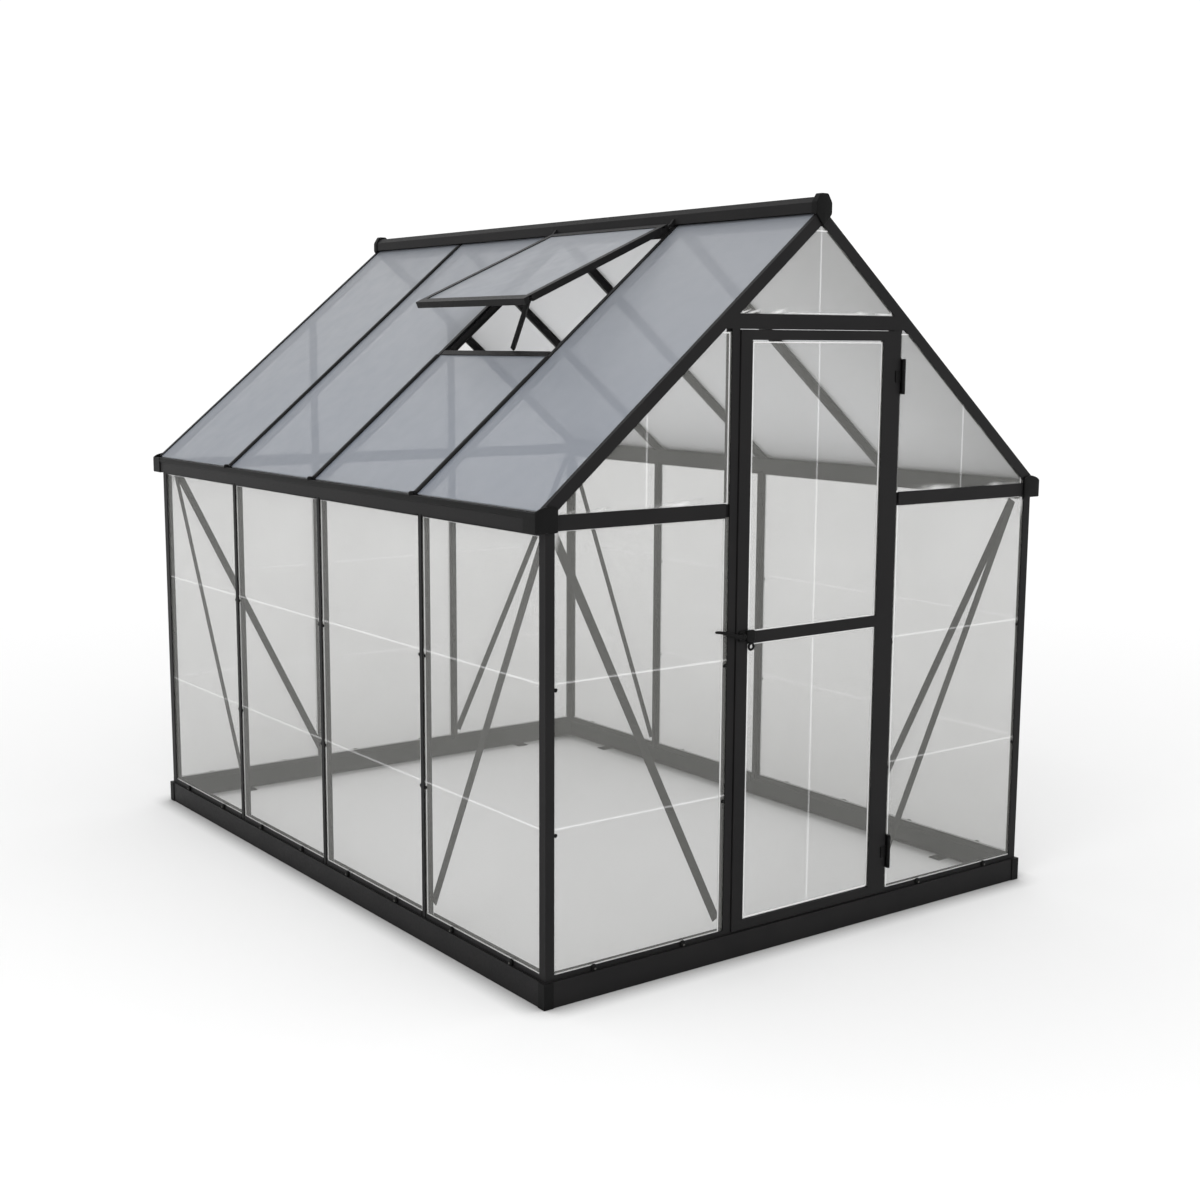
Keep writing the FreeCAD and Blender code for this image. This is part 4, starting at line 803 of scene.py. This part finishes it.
def stay_bar(solid):
    """Stay: a flat bar with half-round ends, carried through its thickness with soft edges; its rolled sides
    stand out past the flat bar."""
    rolled, edge = 1.5 * MM, 1.5 * MM
    points = np.unique(np.round(solid.reshape(-1, 3), 5), axis=0)
    long, wide, thick = np.linalg.svd(points - points.mean(axis=0), full_matrices=False)[2]
    reach = [np.array([(points @ axis).min(), (points @ axis).max()]) for axis in (long, wide, thick)]
    half_long, half_wide = (np.ptp(pair) / 2 for pair in reach[:2])
    middle = reach[0].mean() * long + reach[1].mean() * wide + reach[2][0] * thick
    half_wide += rolled
    end = oval(half_wide, half_wide, count=36)
    end[:, 0] += np.where(end[:, 0] >= 0, 1, -1) * (half_long - half_wide)
    return boss(end, middle, long, wide, thick, np.ptp(reach[2]), edge)


# ------------------------------------------------------------------ settings
class GreenhouseSheets(bpy.types.PropertyGroup):
    """Sizes of the sheets."""
    rim: bpy.props.FloatProperty(
        name="Bright line place", description="Distance of the bright line from a clear sheet's edges",
        default=11 * MM, min=0.001, max=0.03, unit="LENGTH")
    thin: bpy.props.FloatProperty(
        name="Bright line", description="Half width of the bright line inside a clear sheet's edges",
        default=1.6 * MM, min=0.0005, max=0.01, unit="LENGTH")
    door_rim: bpy.props.FloatProperty(
        name="Bright line in the door", description="How much farther in the line lies on the door's sheets",
        default=3.5 * MM, min=0.0, max=0.02, unit="LENGTH")
    jamb_cover: bpy.props.FloatProperty(
        name="Jamb cover", description="How much farther the doorway's jamb covers the sheet beside it",
        default=9 * MM, min=0.0, max=0.03, unit="LENGTH")
    fold: bpy.props.FloatProperty(
        name="Fold width", description="Half width of a stiffening fold in a clear sheet",
        default=5 * MM, min=0.001, max=0.03, unit="LENGTH")
    rise: bpy.props.FloatProperty(
        name="Fold height", description="How far a stiffening fold stands out of the sheet",
        default=1.6 * MM, min=0.0, max=0.003, unit="LENGTH")
    pitch: bpy.props.FloatProperty(
        name="Flute pitch", description="Distance between the webs of a twin-wall sheet",
        default=10.5 * MM, min=0.004, max=0.03, unit="LENGTH")
    skin: bpy.props.FloatProperty(
        name="Skin", description="Thickness of a twin-wall sheet's skins and webs",
        default=0.5 * MM, min=0.0002, max=0.001, unit="LENGTH")


class GreenhouseCaps(bpy.types.PropertyGroup):
    """Sizes of the moulded caps, the gutters' beads and the rafters' cover strips."""
    corner: bpy.props.FloatProperty(
        name="Corner radius", description="Rounding of the caps' outlines", default=5 * MM, min=0.0005,
        max=0.02, unit="LENGTH")
    edge: bpy.props.FloatProperty(
        name="Edge radius", description="Rounding of the caps' outer edges", default=2.5 * MM, min=0.0005,
        max=0.01, unit="LENGTH")
    wall: bpy.props.FloatProperty(
        name="Wrap thickness", description="Wall of the cap that wraps round the gutter's end",
        default=4 * MM, min=0.001, max=0.01, unit="LENGTH")
    bead: bpy.props.FloatProperty(
        name="Gutter bead", description="How far the bead on the gutter's lip stands out", default=3 * MM,
        min=0.0005, max=0.004, unit="LENGTH")
    bead_height: bpy.props.FloatProperty(
        name="Gutter bead height", description="Height of the bead on the gutter's lip", default=17 * MM,
        min=0.005, max=0.03, unit="LENGTH")
    strip: bpy.props.FloatProperty(
        name="Cover strip width", description="Width of the strip over each rafter", default=18 * MM,
        min=0.005, max=0.03, unit="LENGTH")
    strip_height: bpy.props.FloatProperty(
        name="Cover strip height", description="How far the strip over each rafter stands out",
        default=4 * MM, min=0.0005, max=0.01, unit="LENGTH")
    strip_start: bpy.props.FloatProperty(
        name="Cover strip start", description="Distance down the slope from the roof's peak to the strips",
        default=40 * MM, min=0.03, max=0.2, unit="LENGTH")
    lid_end: bpy.props.FloatProperty(
        name="Strip start below the vent",
        description="Distance down the slope where strips clear the vent's lid",
        default=630 * MM, min=0.3, max=1.0, unit="LENGTH")


class GreenhouseFinishes(bpy.types.PropertyGroup):
    """Colours of the finishes."""
    frame: bpy.props.FloatVectorProperty(
        name="Frame", description="Powder coat of the frame", subtype="COLOR", size=4,
        default=linear("#161617"), min=0, max=1)
    frame_worn: bpy.props.FloatVectorProperty(
        name="Frame, dusty", description="Powder coat where dust has settled", subtype="COLOR", size=4,
        default=linear("#201f1f"), min=0, max=1)
    nylon: bpy.props.FloatVectorProperty(
        name="Fittings", description="Moulded black caps, clips and hinges", subtype="COLOR", size=4,
        default=linear("#060606"), min=0, max=1)
    zinc: bpy.props.FloatVectorProperty(
        name="Screws", description="Zinc plating of screws and pins", subtype="COLOR", size=4,
        default=linear("#6e6d69"), min=0, max=1)
    clear: bpy.props.FloatVectorProperty(
        name="Clear sheet", description="Tint of the clear wall sheets", subtype="COLOR", size=4,
        default=linear("#979793"), min=0, max=1)
    clear_opacity: bpy.props.FloatProperty(
        name="Clear sheet tint",
        description="How strongly one face of a clear sheet tints what is behind it",
        default=0.19, min=0, max=1, subtype="FACTOR")
    # Painted light: the roof sheets run from the low colour to the lighter high colour with height.
    twin_low: bpy.props.FloatVectorProperty(
        name="Roof sheet, low", description="Twin-wall sheet near the eaves", subtype="COLOR", size=4,
        default=linear("#7b818b"), min=0, max=1)
    twin_high: bpy.props.FloatVectorProperty(
        name="Roof sheet, high", description="Twin-wall sheet near the ridge", subtype="COLOR", size=4,
        default=linear("#868a91"), min=0, max=1)
    # Painted light: the skin that faces the room is drawn lighter, for the light that comes through the
    # sheet.
    twin_under_painted_light: bpy.props.FloatVectorProperty(
        name="Roof sheet, underside", description="Twin-wall sheet's skin that faces the room",
        subtype="COLOR", size=4, default=linear("#d6d6d6"), min=0, max=1)
    twin_opacity: bpy.props.FloatProperty(
        name="Roof sheet haze",
        description="How strongly one skin of a twin-wall sheet hides what is behind it",
        default=0.72, min=0, max=1, subtype="FACTOR")
    # Floor colour near the greenhouse; it fades to near white farther out, a painted falloff of the light.
    floor: bpy.props.FloatVectorProperty(
        name="Floor", description="Floor under the greenhouse", subtype="COLOR", size=4,
        default=linear("#eeeeee"), min=0, max=1)


class GreenhouseStage(bpy.types.PropertyGroup):
    """Light and floor round the greenhouse."""
    sky: bpy.props.FloatProperty(
        name="Room light", description="Strength of the even white light from all sides",
        default=1.05, min=0, max=5)
    key: bpy.props.FloatProperty(
        name="Soft light", description="Power of the large soft light above", default=120.0, min=0, max=5000,
        unit="POWER")
    roof_fill: bpy.props.FloatProperty(
        name="Roof fill", description="Power of the soft light under the roof", default=12.0, min=0, max=500,
        unit="POWER")
    floor_fill: bpy.props.FloatProperty(
        name="Floor fill", description="Power of the soft light over the inside floor", default=4.0, min=0,
        max=500, unit="POWER")
    reach: bpy.props.FloatProperty(
        name="Floor reach", description="Half the side of the floor", default=70.0, min=5, max=200,
        unit="LENGTH")


# ------------------------------------------------------------------ operators
CLEAR_NODES = {
    "side_panes_left": "frame", "side_panes_right": "frame", "rear_panes": "frame", "front_panes": "frame",
    "gable_panes_front": "frame", "gable_panes_rear": "frame", "door_panes": "door"}
TWIN_NODES = {"roof_panes_left": "frame", "roof_panes_right": "frame", "vent_pane": "vent_lid"}
SLOT_FINISHES = {
    "charcoal_frame": "powder_coated_aluminium", "black_plastic": "moulded_black_nylon",
    "screw_steel": "zinc_plated_steel", "clear_sheet": "clear_polycarbonate",
    "twin_wall_sheet": "twin_wall_polycarbonate"}


class GREENHOUSE_OT_frame_finish(bpy.types.Operator):
    """Give every CAD part the finish of its material slot"""
    bl_idname = "greenhouse.frame_finish"
    bl_label = "Finish the frame"

    def execute(self, context):
        for part in frame["record"]["subparts"]:
            mesh = frame["nodes"][part["node"]].data
            mesh.materials.clear()
            mesh.materials.append(material(context, SLOT_FINISHES[part["material_slot"]]))
        return {"FINISHED"}


class GREENHOUSE_OT_wall_sheets(bpy.types.Operator):
    """Make the folded clear sheets of the walls, gables and door"""
    bl_idname = "greenhouse.wall_sheets"
    bl_label = "Clear wall sheets"

    def execute(self, context):
        sizes = context.scene.greenhouse_sheets
        for node, body in CLEAR_NODES.items():
            covered = sizes.jamb_cover if node == "front_panes" else 0.0
            rim = sizes.rim + (sizes.door_rim if body == "door" else 0.0)
            patches = [part for solid in solids(node) for part in folded_sheet(solid, sizes, rim, covered)]
            piece(node + "_sheet", patches, body, [node],
                  material(context, "clear_polycarbonate"), marks=("rim", "fold"), sharp=60)
        return {"FINISHED"}


class GREENHOUSE_OT_roof_sheets(bpy.types.Operator):
    """Make the fluted twin-wall sheets of the roof and the roof vent"""
    bl_idname = "greenhouse.roof_sheets"
    bl_label = "Twin-wall roof sheets"

    def execute(self, context):
        sizes = context.scene.greenhouse_sheets
        for node, body in TWIN_NODES.items():
            patches = [part for solid in solids(node)
                       for part in fluted_sheet(solid, sizes.pitch, sizes.skin, sizes.skin)]
            piece(node + "_sheet", patches, body, [node],
                  material(context, "twin_wall_polycarbonate"), marks=("cell", "under"))
        return {"FINISHED"}


class GREENHOUSE_OT_caps(bpy.types.Operator):
    """Make the moulded caps, the beads on the gutters and the strips over the rafters"""
    bl_idname = "greenhouse.caps"
    bl_label = "Caps, beads and strips"

    def execute(self, context):
        nylon = material(context, "moulded_black_nylon")
        sizes = context.scene.greenhouse_caps
        for node, shape in (("base_corner_caps", corner_cap), ("eave_end_caps", eave_cap),
                            ("ridge_end_caps", ridge_cap), ("rafter_foot_caps", foot_cap)):
            patches = [part for solid in solids(node) for part in shape(solid, sizes)]
            piece(node + "_moulding", patches, "frame", [node], nylon)
        beads = [gutter_bead(node, sizes) for node in ("eave_beam_left", "eave_beam_right")]
        piece("gutter_beads", beads, "frame", [], nylon)
        piece("rafter_cover_strips", cover_strips(sizes), "frame", [],
              material(context, "powder_coated_aluminium"))
        return {"FINISHED"}


class GREENHOUSE_OT_fixings(bpy.types.Operator):
    """Make the base clips, their screws and the buttons that hold the wall sheets"""
    bl_idname = "greenhouse.fixings"
    bl_label = "Clips and screws"

    def execute(self, context):
        for node, shape, slot in (("base_clips", clip_knob, "black_plastic"),
                                  ("base_screws", screw_head, "screw_steel"),
                                  ("pane_clips", button, "black_plastic")):
            piece(node + "_shape", [shape(solid) for solid in solids(node)], "frame", [node],
                  material(context, SLOT_FINISHES[slot]))
        return {"FINISHED"}


class GREENHOUSE_OT_door_fittings(bpy.types.Operator):
    """Make the latch plate with its padlock ring, and the lever"""
    bl_idname = "greenhouse.door_fittings"
    bl_label = "Door fittings"

    def execute(self, context):
        nylon = material(context, "moulded_black_nylon")
        piece("latch_plate_moulding", latch_plate(), "door", ["door_latch_plate"], nylon)
        piece("lever_moulding", lever(), "door_lever", ["door_lever"], nylon)
        return {"FINISHED"}


class GREENHOUSE_OT_vent_stay(bpy.types.Operator):
    """Make the roof vent's stay, a flat bar with rounded ends"""
    bl_idname = "greenhouse.vent_stay"
    bl_label = "Vent stay"

    def execute(self, context):
        piece("vent_stay_bar", [stay_bar(solids("vent_stay")[0])], "vent_stay", ["vent_stay"],
              material(context, "moulded_black_nylon"))
        return {"FINISHED"}


CAMERA_PLACE = (-3.2262, -4.5675, 1.6915)       # metres
CAMERA_YAW, CAMERA_PITCH, CAMERA_ROLL = 36.191, -8.652, 0.242     # degrees; yaw runs from +Y towards +X
CAMERA_LENS, CAMERA_SENSOR = 49.758, 36.0       # millimetres
CAMERA_SHIFT = (0.00875, -0.0021)               # shares of the sensor's width
SOFT_BOX_PLACE, SOFT_BOX_AIM, SOFT_BOX_SIZE = (-4.0, -3.5, 5.0), (4.2, 3.6, -3.9), (4.0, 3.0)
FILL_SIZE = (1.5, 2.1)                          # metres across and along the greenhouse


class GREENHOUSE_OT_stage(bpy.types.Operator):
    """Lay the floor, set the soft light and place the camera"""
    bl_idname = "greenhouse.stage"
    bl_label = "Floor, light and camera"

    def execute(self, context):
        scene = context.scene
        stage = scene.greenhouse_stage
        line = np.linspace(-stage.reach, stage.reach, 9)
        grid = np.stack([*np.meshgrid(line, line), np.full((9, 9), -0.4 * MM)], axis=-1)
        points, quads = patch(grid)
        mesh = bpy.data.meshes.new("floor")
        mesh.from_pydata(points.tolist(), [], quads.tolist())
        floor = bpy.data.objects.new("floor", mesh)
        scene.collection.objects.link(floor)
        mesh.materials.append(material(context, "matt_white_floor"))

        world = bpy.data.worlds.new("white_room")
        world.use_nodes = True
        background = world.node_tree.nodes["Background"].inputs
        background["Color"].default_value = (1, 1, 1, 1)
        background["Strength"].default_value = stage.sky
        scene.world = world
        soft_light(scene, "soft_box", SOFT_BOX_PLACE, SOFT_BOX_AIM, SOFT_BOX_SIZE, stage.key)
        soft_light(scene, "roof_fill", (0.0, 0.0, 1.15), (0, 0.001, 1.0), FILL_SIZE, stage.roof_fill)
        soft_light(scene, "floor_fill", (0.0, 0.0, 1.10), (0, 0.001, -1.0), FILL_SIZE, stage.floor_fill)

        yaw, pitch = math.radians(CAMERA_YAW), math.radians(CAMERA_PITCH)
        forward = [math.sin(yaw) * math.cos(pitch), math.cos(yaw) * math.cos(pitch), math.sin(pitch)]
        lens = bpy.data.cameras.new("camera")
        lens.sensor_width = CAMERA_SENSOR
        lens.lens = CAMERA_LENS
        lens.shift_x, lens.shift_y = CAMERA_SHIFT
        lens.clip_end = 300.0
        camera = bpy.data.objects.new("camera", lens)
        camera.matrix_world = look(CAMERA_PLACE, forward, math.radians(CAMERA_ROLL))
        scene.collection.objects.link(camera)
        scene.camera = camera
        scene.view_settings.view_transform = "Standard"
        scene.cycles.transparent_max_bounces = 40
        return {"FINISHED"}


def soft_light(scene, name, place, forward, size, power):
    """Rectangular light at a place, shining along forward, that no eye or mirror sees."""
    light = bpy.data.lights.new(name, "AREA")
    light.shape = "RECTANGLE"
    light.size, light.size_y, light.energy = *size, power
    lamp = bpy.data.objects.new(name, light)
    lamp.matrix_world = look(place, unit(forward), 0.0)
    lamp.visible_camera = lamp.visible_glossy = False
    scene.collection.objects.link(lamp)


def look(place, forward, roll):
    """Matrix of a camera or light at a place, looking along forward, rolled about it."""
    forward = np.asarray(forward, float)
    right = unit(np.cross(forward, Z))
    up = np.cross(right, forward)
    across = right * math.cos(roll) + up * math.sin(roll)
    over = -right * math.sin(roll) + up * math.cos(roll)
    matrix = np.eye(4)
    matrix[:3] = np.stack([across, over, -forward, np.asarray(place, float)], axis=1)
    return [tuple(column) for column in matrix.T]


OPERATORS = (
    GREENHOUSE_OT_frame_finish, GREENHOUSE_OT_wall_sheets, GREENHOUSE_OT_roof_sheets, GREENHOUSE_OT_caps,
    GREENHOUSE_OT_fixings, GREENHOUSE_OT_door_fittings, GREENHOUSE_OT_vent_stay, GREENHOUSE_OT_stage)
GROUPS = {
    "greenhouse_sheets": GreenhouseSheets, "greenhouse_caps": GreenhouseCaps,
    "greenhouse_finishes": GreenhouseFinishes, "greenhouse_stage": GreenhouseStage}


class GREENHOUSE_PT_parts(bpy.types.Panel):
    """Lists the steps that finish the greenhouse"""
    bl_idname = "GREENHOUSE_PT_parts"
    bl_label = "Greenhouse"
    bl_space_type = "VIEW_3D"
    bl_region_type = "UI"
    bl_category = "Greenhouse"

    def draw(self, context):
        for operator in OPERATORS:
            self.layout.operator(operator.bl_idname)
        for group in GROUPS:
            settings = getattr(context.scene, group)
            for key in settings.__annotations__:
                self.layout.prop(settings, key)


def register():
    """Add the settings, the operators and the panel to Blender."""
    for group in GROUPS.values():
        bpy.utils.register_class(group)
    for name, group in GROUPS.items():
        setattr(bpy.types.Scene, name, bpy.props.PointerProperty(type=group))
    for operator in OPERATORS:
        bpy.utils.register_class(operator)
    bpy.utils.register_class(GREENHOUSE_PT_parts)


def unregister():
    """Take them out again, the last first."""
    bpy.utils.unregister_class(GREENHOUSE_PT_parts)
    for operator in reversed(OPERATORS):
        bpy.utils.unregister_class(operator)
    for name, group in GROUPS.items():
        delattr(bpy.types.Scene, name)
        bpy.utils.unregister_class(group)


def main():
    """Run every operator in order."""
    register()
    for operator in OPERATORS:
        group, name = operator.bl_idname.split(".")
        getattr(getattr(bpy.ops, group), name)()


if __name__ == "__main__":
    main()
